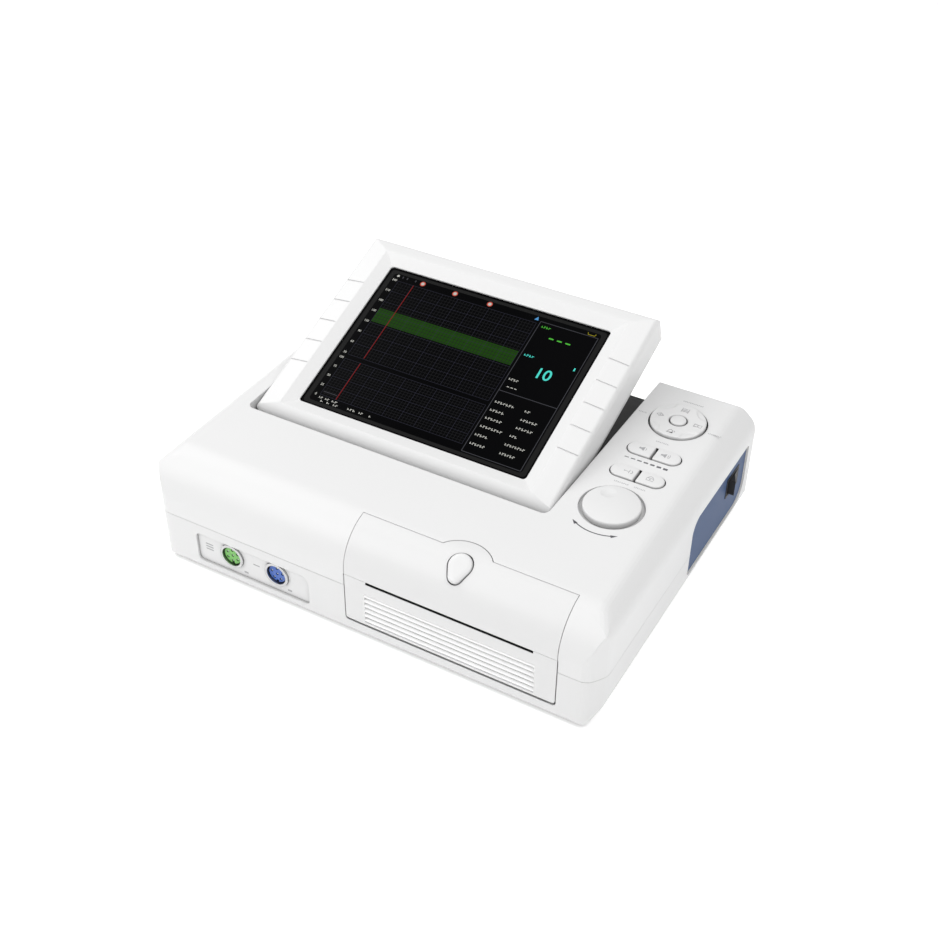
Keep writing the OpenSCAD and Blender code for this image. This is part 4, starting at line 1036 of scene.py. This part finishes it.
@dataclass
class NavigationPad:
    """Tilting ring with four thumb dimples and a centre button."""

    outer: float = 19.0
    inner: float = 6.3
    top: float = 2.2
    bottom: float = -3.2
    dish: float = 0.35
    edge: float = 0.9
    edge_drop: float = 1.1
    tab_bottom: float = -7.2
    tab_fronts: Point = (-13.0, 11.0)
    tab_side: float = 2.0
    mark_depth: float = 0.6
    mark_rise: float = 0.02
    button_radius: float = 5.5
    button_bottom: float = -5.2
    button_top: float = 2.4
    button_edge: float = 1.0
    button_crown: float = 0.35
    button_inset: float = 5.3
    dimple_centre: float = 24.3
    dimple_radius: float = 10.4
    dimple_slope: float = 1.4
    dimple_depth: float = 0.7
    steps: int = 240
    rows: int = 30

    def height(self, r: float, angle: float) -> float:
        """Gives the height of the ring's top.

        Args:
            r: Distance from the ring's axis.
            angle: Angle about it, in degrees.

        Returns:
            The height.
        """
        z = self.top - self.dish * ((self.outer - r) / (self.outer - self.inner)) ** 1.5
        x, y = polar(r, angle)
        for k in range(4):
            dimple_x, dimple_y = polar(self.dimple_centre, 45 + 90 * k)
            d = math.hypot(x - dimple_x, y - dimple_y)
            t = min(max((self.dimple_radius - d) / self.dimple_slope, 0.0), 1.0)
            z -= self.dimple_depth * t * t * (3 - 2 * t)
        return z

    def row(self, r: float, z: Callable[[float], float]) -> list[Point3]:
        """Gives one loop of the ring, with its height as a function of the angle."""
        angles = [360 * k / self.steps for k in range(self.steps)]
        return [(*polar(r, a), z(a)) for a in angles]

    def ring_loops(self) -> list[list[Point3]]:
        """Gives the ring's loops, from the inner lower edge outwards and back.

        Returns:
            The loops.
        """
        rim, shoulder = self.outer - self.edge, self.top - self.edge_drop
        loops = [self.row(self.inner, lambda a: self.bottom),
                 self.row(self.outer, lambda a: self.bottom),
                 self.row(self.outer, lambda a: shoulder)]
        for turn in (30, 60, 90):
            c, s = polar(1.0, turn)
            loops.append(self.row(rim + self.edge * c, lambda a: shoulder + s * (
                self.height(rim, a) - self.top + self.edge_drop)))
        for k in range(1, self.rows + 1):
            r = rim - (rim - self.inner - 0.8) * k / self.rows
            loops.append(self.row(r, lambda a: self.height(r, a)))
        return loops + [self.row(self.inner + out, lambda a: self.top - down)
                        for out, down in ((0.45, 0.5), (0.1, 0.8), (0.0, 1.2))]

    def build(self) -> None:
        """Builds the ring, its pictograms and the centre button."""
        sketch = Sketch(console_place(*NAV_AT))
        sketch.stack(self.ring_loops(), capped=False)
        side = self.tab_side
        for y in self.tab_fronts:
            sketch.prism(rounded_rectangle((-side, y), (side, y + side), 0.3), self.tab_bottom,
                         self.bottom + 0.3)
        for mark in self.pictograms():
            sketch.prism(mark, self.top - self.mark_depth, self.top + self.mark_rise, 1)
        piece = sketch.finished("navigation_ring", Finish.KEY, Finish.PALE_INK, sharp=40)
        place_piece(piece, Body.NAV_RING, Slot.KEY, "nav_ring")
        button = Sketch(console_place(*NAV_AT))
        button.crowned(lambda grown: circle(self.button_radius + grown, 72), self.button_bottom,
                       self.button_top, self.button_edge, self.button_crown, self.button_inset)
        piece = button.finished("navigation_button", Finish.KEY)
        place_piece(piece, Body.NAV_BUTTON, Slot.KEY, "nav_button")

    @staticmethod
    def pictograms() -> list[Outline]:
        """Draws a page, an open book, a bell and a diamond.

        Returns:
            Their outlines.
        """
        lines = (
            [(-1.8, 11.0), (1.8, 11.0)], [(-1.8, 12.4), (1.8, 12.4)], [(-1.4, 13.8), (1.4, 13.8)],
            [(11.4, -1.5), (14.0, -1.0), (16.6, -1.5), (16.6, 1.5), (14.0, 1.0), (11.4, 1.5),
             (11.4, -1.5)], [(14.0, -1.0), (14.0, 1.0)], [(2.2, -12.6), (3.2, -13.8)],
            [(-15.6, 0.0), (-13.2, 1.8), (-10.8, 0.0), (-13.2, -1.8), (-15.6, 0.0)])
        bell = [(-2.2, -15.6), (-1.6, -14.6), (-1.2, -12.8), (0.0, -12.0), (1.2, -12.8),
                (1.6, -14.6), (2.2, -15.6), (-2.2, -15.6)]
        return [*(stroke(line, KEY_LINE) for line in lines), stroke(bell, 0.38),
                *(stroke([(x, 10.0), (x, 14.6)], 0.3) for x in (-2.3, 2.3)),
                bar(-13.2, 0.0, 0.9, 0.9)]


@dataclass
class ConsolePrint:
    """Marks printed on the console: the turning arrow, the loudness bars and label blocks."""

    arrow_radius: float = 27.5
    arrow_ends: Point = (233.6, 302.8)
    arrow_line: float = 0.85
    head_length: float = 4.5
    head_half_width: float = 1.3
    bars_at: Point = (121.4, 156.2)
    bar_count: int = 7
    first_bar_x: float = -14.3
    bar_pitch: float = 4.55
    bar_half: float = 1.5
    bar_tilt: float = 0.1
    thinnest_bar: float = 0.7
    bar_growth: float = 0.21
    block_pitch: float = 1.25
    labels_at: Point = (121.5, 150.0)
    labels: tuple[tuple[float, float, float, float], ...] = (
        (1.2, 81.8, 15.0, 1.3), (27.0, 55.7, 9.4, 1.3), (-25.4, 56.6, 6.0, 1.3),
        (0.2, 31.0, 9.2, 1.3), (-6.0, -20.0, 10.4, 1.2), (6.8, -20.0, 8.2, 1.2))

    def arrow(self) -> list[Outline]:
        """Draws the double-ended arrow round the front of the knob.

        Returns:
            The arrow's outlines.
        """
        start, end = self.arrow_ends
        marks = [stroke(arc((0, 0), self.arrow_radius, start + 5, end - 5, 40), self.arrow_line)]
        for a, turn in ((start, -1), (end, 1)):
            out = Vector(polar(1.0, a))
            point = out * self.arrow_radius
            back = point - Vector((-out.y, out.x)) * turn * self.head_length
            side = out * self.head_half_width * turn
            marks.append([tuple(point), tuple(back + side), tuple(back - side)])
        return marks

    def build(self) -> None:
        """Builds the printed marks."""
        volume = []
        for k in range(self.bar_count):
            x = self.first_bar_x + self.bar_pitch * k
            line = [(x - self.bar_half, -self.bar_tilt), (x + self.bar_half, self.bar_tilt)]
            volume.append(stroke(line, self.thinnest_bar + self.bar_growth * k))
        blocks = [block for x, y, width, height in self.labels
                  for block in word_blocks(x - width / 2, y, width, height, self.block_pitch)]
        for name, at, marks, finish in (
                ("turning_arrow", KNOB_AT, self.arrow(), Finish.INK),
                ("loudness_bars", self.bars_at, volume, Finish.INK),
                ("label_blocks", self.labels_at, blocks, Finish.PALE_INK)):
            sketch = Sketch(console_place(*at))
            for mark in marks:
                sketch.prism(mark, 0.0, PRINT_HEIGHT)
            place_piece(sketch.finished(name, finish), Body.BASE, Slot.BLACK)


# ---------------- display


class Layer(IntEnum):
    """Depths of the screen's marks, from the rear."""

    BAND = 0
    DOTS = 1
    GRID = 2
    MARKS = 3
    TOP = 4


@dataclass
class ScreenPicture:
    """The lit picture behind the window: two charts, a number panel and a status row."""

    level: float = -1.12
    layer: float = 0.02
    rule: float = 0.5
    grid_line: float = 0.28
    block_pitch: float = 2.0
    chart_x: Point = (-77.0, 35.6)
    upper_u: Point = (65.3, 137.2)
    lower_u: Point = (27.6, 61.4)
    band_u: float = 104.0
    band_height: float = 12.9
    pen_x: float = -64.0
    panel_x: Point = (37.9, 81.7)
    panel_u: Point = (22.7, 139.5)
    divider_u: float = 76.1
    status_u: float = 141.0
    figure_rise: float = 0.08
    figure_depth: float = 0.01
    figure_weight: float = 0.012
    scale_x: float = -80.2
    scale_size: float = 2.5
    scales: tuple[tuple[int, int, float, float, int], ...] = (
        (240, 30, 137.4, 10.15, 8), (100, 25, 61.6, 8.65, 5))
    reading: tuple[str, float, float, float] = ("10", 60.2, 98.0, 12.4)
    shapes: dict[Finish, list[tuple[Outline, Layer]]] = field(default_factory=dict)

    def put(self, finish: Finish, outline: Outline, layer: Layer = Layer.MARKS) -> None:
        """Notes one lit outline."""
        self.shapes.setdefault(finish, []).append((outline, layer))

    def words(self, finish: Finish, x: float, u: float, width: float, height: float) -> None:
        """Draws plain blocks in the place of a word, from their left end and middle height."""
        for block in word_blocks(x, u, width, height, self.block_pitch):
            self.put(finish, block)

    def charts(self) -> None:
        """Draws the two charts with their grids, the band and the pen line."""
        x0, x1 = self.chart_x
        middle, width = (x0 + x1) / 2, x1 - x0
        for low, high, rows in ((*self.upper_u, 28), (*self.lower_u, 16)):
            centre, height = (low + high) / 2, high - low
            lines = [(k % 4, bar(middle, low + height * k / rows, width, self.grid_line))
                     for k in range(rows + 1)]
            lines += [(k % 5, bar(x0 + width * k / 45, centre, self.grid_line, height))
                      for k in range(46)]
            for minor, line in lines:
                self.put(Finish.LIT_DOTS if minor else Finish.LIT_GRID, line,
                         Layer.DOTS if minor else Layer.GRID)
        self.put(Finish.LIT_GREEN, bar(middle, self.band_u, width, self.band_height), Layer.BAND)
        for low, high in ((self.upper_u[0] + 0.6, self.upper_u[1]),
                          (self.lower_u[0], self.lower_u[1] - 0.2)):
            line = bar(self.pen_x, (low + high) / 2, self.rule, high - low)
            self.put(Finish.LIT_RED, line, Layer.TOP)
        self.put(Finish.LIT_DIM, bar(-70.6, 30.8, 11.0, self.rule))

    def panel(self) -> None:
        """Draws the number panel's frame, its dashes and its rows of plain blocks."""
        (x0, x1), (u0, u1) = self.panel_x, self.panel_u
        for x in (x0, x1):
            self.put(Finish.LIT_DIM, bar(x, (u0 + u1) / 2, self.rule, u1 - u0))
        for u in (u0, u1, self.divider_u):
            self.put(Finish.LIT_DIM, bar((x0 + x1) / 2, u, x1 - x0, self.rule))
        for x in (51.6, 57.9, 64.3):
            self.put(Finish.LIT_LIME, bar(x, 127.9, 3.6, 1.1))
        self.words(Finish.LIT_LIME, 40.4, 135.6, 7.2, 2.0)
        self.words(Finish.LIT_TEAL, 40.2, 109.3, 7.8, 2.0)
        self.words(Finish.LIT_WHITE, 39.9, 87.0, 7.6, 2.0)
        for x in (42.6, 45.4, 48.2):
            self.put(Finish.LIT_WHITE, bar(x, 80.5, 1.7, 0.6))
        self.put(Finish.LIT_TEAL, bar(78.2, 109.6, 1.1, 2.6))
        rows = ((66.5, 14.7, 62.4, 4.4), (59.3, 10.8, 63.0, 12.6), (52.3, 12.8, 63.1, 12.6),
                (45.1, 16.8, 62.2, 5.6), (37.8, 9.6, 62.3, 15.0), (30.3, 11.5, 62.3, 11.4))
        for u, width, value_x, value_width in rows:
            self.words(Finish.LIT_WHITE, 40.0, u, width, 1.9)
            self.words(Finish.LIT_WHITE, value_x, u, value_width, 1.9)

    def status(self) -> None:
        """Draws the status row and the blocks under the charts."""
        for x in (-58.4, -31.6, -3.3):
            self.put(Finish.LIT_CORAL, circle(2.1, 24, (x, self.status_u)))
            self.put(Finish.LIT_WHITE, circle(1.3, 20, (x, self.status_u)), Layer.TOP)
        self.put(Finish.LIT_BLUE, [(32.6, 139.6), (35.8, 139.6), (34.6, 142.8)])
        tray = [(73.0, 142.2), (73.6, 140.6), (78.4, 140.6), (79.0, 142.2)]
        self.put(Finish.LIT_YELLOW, stroke(tray, self.rule))
        self.put(Finish.LIT_WHITE, circle(1.0, 16, (-79.4, 141.6)))
        for x in (-75.2, -71.6, -64.6):
            self.put(Finish.LIT_DIM, bar(x, 141.4, 0.9, 1.8))
        for x, width in ((-76.6, 3.4), (-71.6, 3.6), (-66.2, 5.0)):
            self.words(Finish.LIT_WHITE, x, 25.4, width, 1.7)
            self.words(Finish.LIT_WHITE, x + 2.6, 22.9, width * 0.8, 1.7)
        for x, width in ((-52.4, 6.6), (-43.2, 3.6), (-35.0, 2.0)):
            self.words(Finish.LIT_WHITE, x, 23.8, width, 1.7)

    def figure(self, text: str, x: float, u: float, size: float, slot: int) -> Mesh:
        """Sets one number as a plain mesh at its place on the screen.

        Args:
            text: The number.
            x: Middle of the number.
            u: Height of its middle.
            size: Size of the type.
            slot: Material slot of the faces.

        Returns:
            The mesh.
        """
        curve = bpy.data.curves.new("figure", "FONT")
        curve.body, curve.size = text, size
        curve.align_x = curve.align_y = "CENTER"
        curve.extrude = self.figure_depth
        curve.offset = self.figure_weight * size
        source = new_object("figure", curve)
        mesh = evaluated_mesh(source)
        bpy.data.objects.remove(source)
        lift = Matrix.Translation((x, u, self.level + self.figure_rise))
        mesh.transform(Matrix.Scale(MM, 4) @ DISPLAY_PLACE @ lift)
        for polygon in mesh.polygons:
            polygon.material_index = slot
        return mesh

    def numbers(self) -> Object:
        """Sets the scales' numbers and the large reading.

        Returns:
            The finished figures.
        """
        x, size = self.scale_x, self.scale_size
        meshes = [self.figure(str(value - step * k), x, u - pitch * k, size, 0)
                  for value, step, u, pitch, count in self.scales for k in range(count)]
        meshes.append(self.figure(*self.reading, 1))
        work = bmesh.new()
        for mesh in meshes:
            work.from_mesh(mesh)
        joined = bpy.data.meshes.new("screen_numbers")
        work.to_mesh(joined)
        work.free()
        return finish_mesh("screen_numbers", joined, [Finish.LIT_WHITE, Finish.LIT_TEAL])

    def build(self) -> None:
        """Builds the picture, one piece per kind of mark, and the mask round it."""
        self.charts()
        self.panel()
        self.status()
        pieces = []
        for finish, marks in self.shapes.items():
            sketch = Sketch(DISPLAY_PLACE)
            for outline, layer in marks:
                sketch.prism(outline, self.level + self.layer * layer,
                             self.level + self.layer * (layer + 0.8))
            pieces.append(sketch.finished("screen_" + finish.value.name, finish))
        mask = Sketch(DISPLAY_PLACE)
        mask.band(rounded_rectangle((-86.4, 19.0), (86.4, 145.9), 2.6),
                  rounded_rectangle((-83.0, 21.4), (83.0, 143.4), 2.6),
                  self.level, self.level + self.layer)
        for piece in (*pieces, self.numbers(), mask.finished("screen_mask", Finish.MASK)):
            place_piece(piece, Body.DISPLAY, Slot.GLASS)


# ---------------- front and sides


@dataclass
class LatchButton:
    """Drop-shaped button that opens the recorder's door."""

    bottom: float = 24.6
    top: float = 31.2
    edge: float = 1.4
    crown: float = 0.35
    inset: float = 3.6
    stem: tuple[Point, ...] = ((2.5, 17.9), (2.5, 24.8))

    def build(self) -> None:
        """Builds the button with its stem."""
        sketch = Sketch(LATCH_PLACE)
        sketch.crowned(egg, self.bottom, self.top, self.edge, self.crown, self.inset)
        sketch.turned(self.stem, 32)
        piece = sketch.finished("latch_cap", Finish.KEY)
        place_piece(piece, Body.LATCH_BUTTON, Slot.KEY, "latch_button")


@dataclass
class TransducerSockets:
    """Contacts and rims of the two round sockets, and the bars printed beside them."""

    sockets: tuple[tuple[str, Point, int], ...] = (
        ("green", (-102.6, 22.4), 6), ("blue", (-66.3, 22.7), 5))
    contact_circle: float = 4.4
    contact: tuple[Point, ...] = ((0.8, -7.0), (0.8, -2.5), (0.5, -2.15), (0.05, -2.1))
    rim: tuple[Point, ...] = (
        (9.2, -2.0), (9.2, -0.55), (8.95, -0.2), (7.8, -0.2), (7.4, -0.6), (7.4, -2.0))
    plate_z: float = -1.6
    bars: tuple[tuple[float, float, float, float], ...] = (
        (-121.5, 22.0, 6.0, 0.9), (-121.5, 24.2, 6.0, 0.9), (-121.5, 19.8, 6.0, 0.9),
        (-92.2, 12.4, 3.2, 1.4), (-57.0, 12.4, 3.2, 1.4), (-83.0, 22.6, 5.0, 0.9))

    def build(self) -> None:
        """Builds the contacts, the rims and the bars."""
        for name, (x, z), count in self.sockets:
            place = CASE_PLACE @ Matrix.Translation((x, 0.0, z)) @ FRONT_TURN
            contact = Sketch(FRONT_TURN)
            contact.turned(self.contact, 16)
            points = [(0.0, 0.0, 0.0)]
            points += [(*polar(self.contact_circle, 90 + 360 * k / count), 0.0)
                       for k in range(count)]
            piece = REPEAT.copies(name + "_contacts", contact, points, place, Finish.CONTACT)
            place_piece(piece, Body.BASE, Slot.BRASS)
            rim = Sketch(place)
            rim.turned(self.rim, 72, capped=False)
            place_piece(rim.finished(name + "_socket_rim", Finish.RING), Body.BASE, Slot.STEEL)
        marks = Sketch(CASE_PLACE @ FRONT_TURN)
        for measures in self.bars:
            marks.prism(bar(*measures), self.plate_z, self.plate_z + PRINT_HEIGHT)
        piece = marks.finished("socket_label_bars", Finish.PALE_INK)
        place_piece(piece, Body.BASE, Slot.BLACK)


@dataclass
class SidePanelRim:
    """Light rim round the blue panel and dark rim round the mains switch."""

    x: float = 163.8
    switch_at: Point = (209.7, 49.9)

    def build(self) -> None:
        """Builds both rims."""
        panel, bezel = Sketch(CASE_PLACE @ SIDE_TURN), Sketch(CASE_PLACE @ SIDE_TURN)
        panel.band(rounded_rectangle((136.0, 21.0), (234.0, 66.0), 3.0, 15.0, 3.0, 11.0),
                   rounded_rectangle((136.7, 21.7), (233.3, 65.3), 2.3, 14.3, 2.3, 10.3),
                   self.x - 0.4, self.x + 0.1)
        place_piece(panel.finished("panel_rim", Finish.RIM), Body.BASE, Slot.CASE)
        y, z = self.switch_at
        bezel.band(rounded_rectangle((y - 10.9, z - 8.1), (y + 10.9, z + 8.1), 1.0),
                   rounded_rectangle((y - 9.4, z - 6.5), (y + 9.4, z + 6.5), 0.6),
                   self.x - 0.6, self.x + 0.4)
        place_piece(bezel.finished("switch_bezel", Finish.CHARCOAL), Body.BASE, Slot.BLACK)


@dataclass
class Fasteners:
    """Screws and feet, placed by Geometry Nodes."""

    case_posts: tuple[Point, ...] = ((-152.0, 20.0), (152.5, 20.0), (-152.0, 230.0), (152.0, 230.0))
    feet: tuple[Point, ...] = ((-135.0, 30.0), (135.0, 30.0), (-135.0, 216.0), (135.0, 216.0))
    display_posts: tuple[Point, ...] = ((-60.0, 8.5), (60.0, 8.5), (-106.0, 160.0), (106.0, 160.0))
    foot: tuple[Point, ...] = (
        (7.6, 0.25), (8.1, 0.0), (8.6, 0.05), (8.95, 0.4), (9.0, 0.8), (9.0, 3.5))
    head: float = 2.9
    head_height: float = 1.6
    shank_radius: float = 1.5
    cross_depth: float = 0.7

    def screw(self, turn: Matrix, shank: float) -> Sketch:
        """Draws a cross-head screw with its head down.

        Args:
            turn: Turn of the screw's frame.
            shank: Length of the shank.

        Returns:
            The sketch.
        """
        head, top = self.head, self.head_height
        arm, half = head * 0.62, head * 0.16
        cross = [(half, arm), (-half, arm), (-half, half), (-arm, half), (-arm, -half),
                 (-half, -half), (-half, -arm), (half, -arm), (half, -half), (arm, -half),
                 (arm, half), (half, half)]
        cross.sort(key=lambda p: math.atan2(p[1], p[0]))
        angles = [math.atan2(y, x) for x, y in cross]
        rim = [(head * 0.9 * math.cos(a), head * 0.9 * math.sin(a)) for a in angles]
        edge = [(x / 0.9, y / 0.9) for x, y in rim]
        neck = [(x * self.shank_radius / head, y * self.shank_radius / head) for x, y in edge]
        sketch = Sketch(turn)
        sketch.stack([raised(outline, z) for outline, z in (
            (cross, self.cross_depth), (cross, 0.0), (rim, 0.0), (edge, 0.3), (edge, top),
            (neck, top), (neck, top + shank))])
        return sketch

    def build(self) -> None:
        """Builds the case screws, the display screws and the feet."""
        case_screw = self.screw(Matrix.Identity(4), 44.0)
        display_screw = self.screw(DISPLAY_PLACE.to_3x3().to_4x4(), 14.0)
        foot = Sketch(Matrix.Identity(4))
        foot.turned(self.foot, 72)
        for name, sketch, spots, z, place, finish, body, slot, node in (
                ("case_screw_set", case_screw, self.case_posts, 4.1, CASE_PLACE, Finish.STEEL,
                 Body.BASE, Slot.STEEL, "case_screws"),
                ("display_screw_set", display_screw, self.display_posts, -25.8, DISPLAY_PLACE,
                 Finish.STEEL, Body.DISPLAY, Slot.STEEL, "display_screws"),
                ("foot_set", foot, self.feet, 0.0, CASE_PLACE, Finish.RUBBER,
                 Body.BASE, Slot.RUBBER, "rubber_feet")):
            piece = REPEAT.copies(name, sketch, raised(spots, z), place, finish)
            place_piece(piece, body, slot, node)


@dataclass
class CadDressing:
    """Finishes of the CAD nodes that show as they are. Nodes that aren't named get the keys'."""

    nodes: dict[Finish, str] = field(default_factory=lambda: {
        Finish.CASE: "lower_shell door_cover connector_plate",
        Finish.UPPER: "upper_shell",
        Finish.LOUVRE: "door_panel",
        Finish.FRAME: "display_bezel display_back",
        Finish.GLASS: "display_window",
        Finish.PANEL: "side_panel",
        Finish.BLACK: "switch_body mains_inlet loudspeaker",
        Finish.CHARCOAL: "switch_rocker",
        Finish.RUBBER: "rubber_feet platen_roller",
        Finish.SILICONE: "key_mat",
        Finish.GREEN: "green_socket",
        Finish.BLUE: "blue_socket",
        Finish.RING: "socket_shells",
        Finish.STEEL: "case_screws encoder encoder_shaft hinge_brackets hinge_pins hinge_leaves"
                      " display_screws head_bracket head_springs drive_bracket idler_axle"
                      " door_hinge_pins platen_shaft latch_hook latch_pin latch_spring"
                      " latch_strike",
        Finish.ALLOY: "lcd_module print_head",
        Finish.MOTOR: "stepper_motor",
        Finish.BRASS: "motor_pinion platen_bushes",
        Finish.BOARD: "main_board signal_board key_board display_board power_supply",
        Finish.FILM: "battery_pack",
        Finish.INNER: "paper_tray door_frame nav_carrier",
        Finish.GEAR: "idler_gear platen_gear"})

    def build(self) -> None:
        """Assigns each node's finish."""
        choices = {node: finish for finish, nodes in self.nodes.items() for node in nodes.split()}
        for name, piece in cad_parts.items():
            material = MATERIALS[choices.get(name, Finish.KEY)]
            if not piece.material_slots:
                piece.data.materials.append(material)
            for slot in piece.material_slots:
                slot.material = material
            LOG.info("%s dressed in %s", name, material.name)


# ---------------- studio


@dataclass(frozen=True)
class SoftLight:
    """One square soft light that faces the monitor, in metres and watts."""

    name: str
    at: Point3
    size: float
    power: float
    aim: Point3 = (0.0, 0.0, 0.05)

    def build(self) -> None:
        """Makes the light."""
        data = bpy.data.lights.new(self.name, "AREA")
        data.shape = "SQUARE"
        data.size = self.size
        data.energy = self.power
        lamp = new_object(self.name, data)
        lamp.location = self.at
        lamp.rotation_mode = "QUATERNION"
        lamp.rotation_quaternion = (Vector(self.aim) - Vector(self.at)).to_track_quat("-Z", "Y")


@dataclass
class Studio:
    """Pale floor, soft light and the camera at the photograph's angle."""

    camera_at: Point3 = (365.576, -644.978, 624.049)
    right: Point3 = (0.86802622, 0.49643236, 0.00924112)
    down: Point3 = (0.31110926, -0.52928978, -0.78934362)
    forward: Point3 = (-0.38696448, 0.68804596, -0.61388211)
    focal_px: float = 1371.088
    long_side_px: float = 946.0
    sensor_width: float = 36.0
    surroundings: float = 0.42
    floor_half_side: float = 6.0
    floor_tone: float = 0.97
    floor_roughness: float = 0.9
    floor_specular: float = 0.1
    floor_glow: float = 0.25
    lights: tuple[SoftLight, ...] = (
        SoftLight("ceiling", (0.0, 0.0, 2.0), 1.6, 10.0),
        SoftLight("left", (-1.35, 0.15, 1.35), 1.0, 10.5),
        SoftLight("front_left", (-0.9, -1.25, 1.2), 1.0, 11.2),
        SoftLight("right", (1.15, -0.3, 1.5), 1.0, 12.0))

    def camera(self) -> None:
        """Makes the camera."""
        data = bpy.data.cameras.new("camera")
        data.sensor_width = self.sensor_width
        data.lens = self.focal_px / self.long_side_px * self.sensor_width
        data.clip_start = 0.01
        data.clip_end = 50.0
        camera = new_object("camera", data)
        x, y, z = Vector(self.right), -Vector(self.down), -Vector(self.forward)
        turn = Matrix((x, y, z)).transposed().to_4x4()
        camera.matrix_world = Matrix.Translation(Vector(self.camera_at) * MM) @ turn
        bpy.context.scene.camera = camera

    def floor(self) -> None:
        """Makes the floor."""
        mesh = bpy.data.meshes.new("floor")
        side = 2 * self.floor_half_side
        mesh.from_pydata(raised(bar(0.0, 0.0, side, side), 0.0), [], [(0, 1, 2, 3)])
        floor = new_object("floor", mesh)
        # The floor keeps the moulded effect's default painted crevice shade, which darkens it close
        # under and beside the monitor
        paint = Paint("floor_paint")
        surface = paint.effect(EFFECTS.moulded, {
            "Colour": (*grey(self.floor_tone), 1.0), "Mottle": 0.0,
            "Roughness": self.floor_roughness})
        paint.shade({"Base Color": surface["Colour"], "Roughness": self.floor_roughness,
                     "Specular IOR Level": self.floor_specular,
                     "Emission Color": (1.0, 1.0, 1.0, 1.0), "Emission Strength": self.floor_glow})
        floor.data.materials.append(paint.material)

    def build(self) -> None:
        """Makes the camera, the floor, the surroundings and the lights."""
        self.camera()
        self.floor()
        scene = bpy.context.scene
        scene.view_settings.view_transform = "Standard"
        world = bpy.data.worlds.new("surroundings")
        world.use_nodes = True
        inputs = world.node_tree.nodes["Background"].inputs
        inputs["Color"].default_value = (1.0, 1.0, 1.0, 1.0)
        inputs["Strength"].default_value = self.surroundings
        scene.world = world
        for light in self.lights:
            light.build()


def main() -> None:
    """Builds every piece in order."""
    logging.basicConfig(level=logging.INFO, format="%(name)s: %(message)s")
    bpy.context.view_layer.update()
    for assembly in (Studio, CadDressing, ControlKnob, KeyPairs, NavigationPad, ConsolePrint,
                     ScreenPicture, LatchButton, TransducerSockets, SidePanelRim, Fasteners):
        assembly().build()


if __name__ == "__main__":
    main()
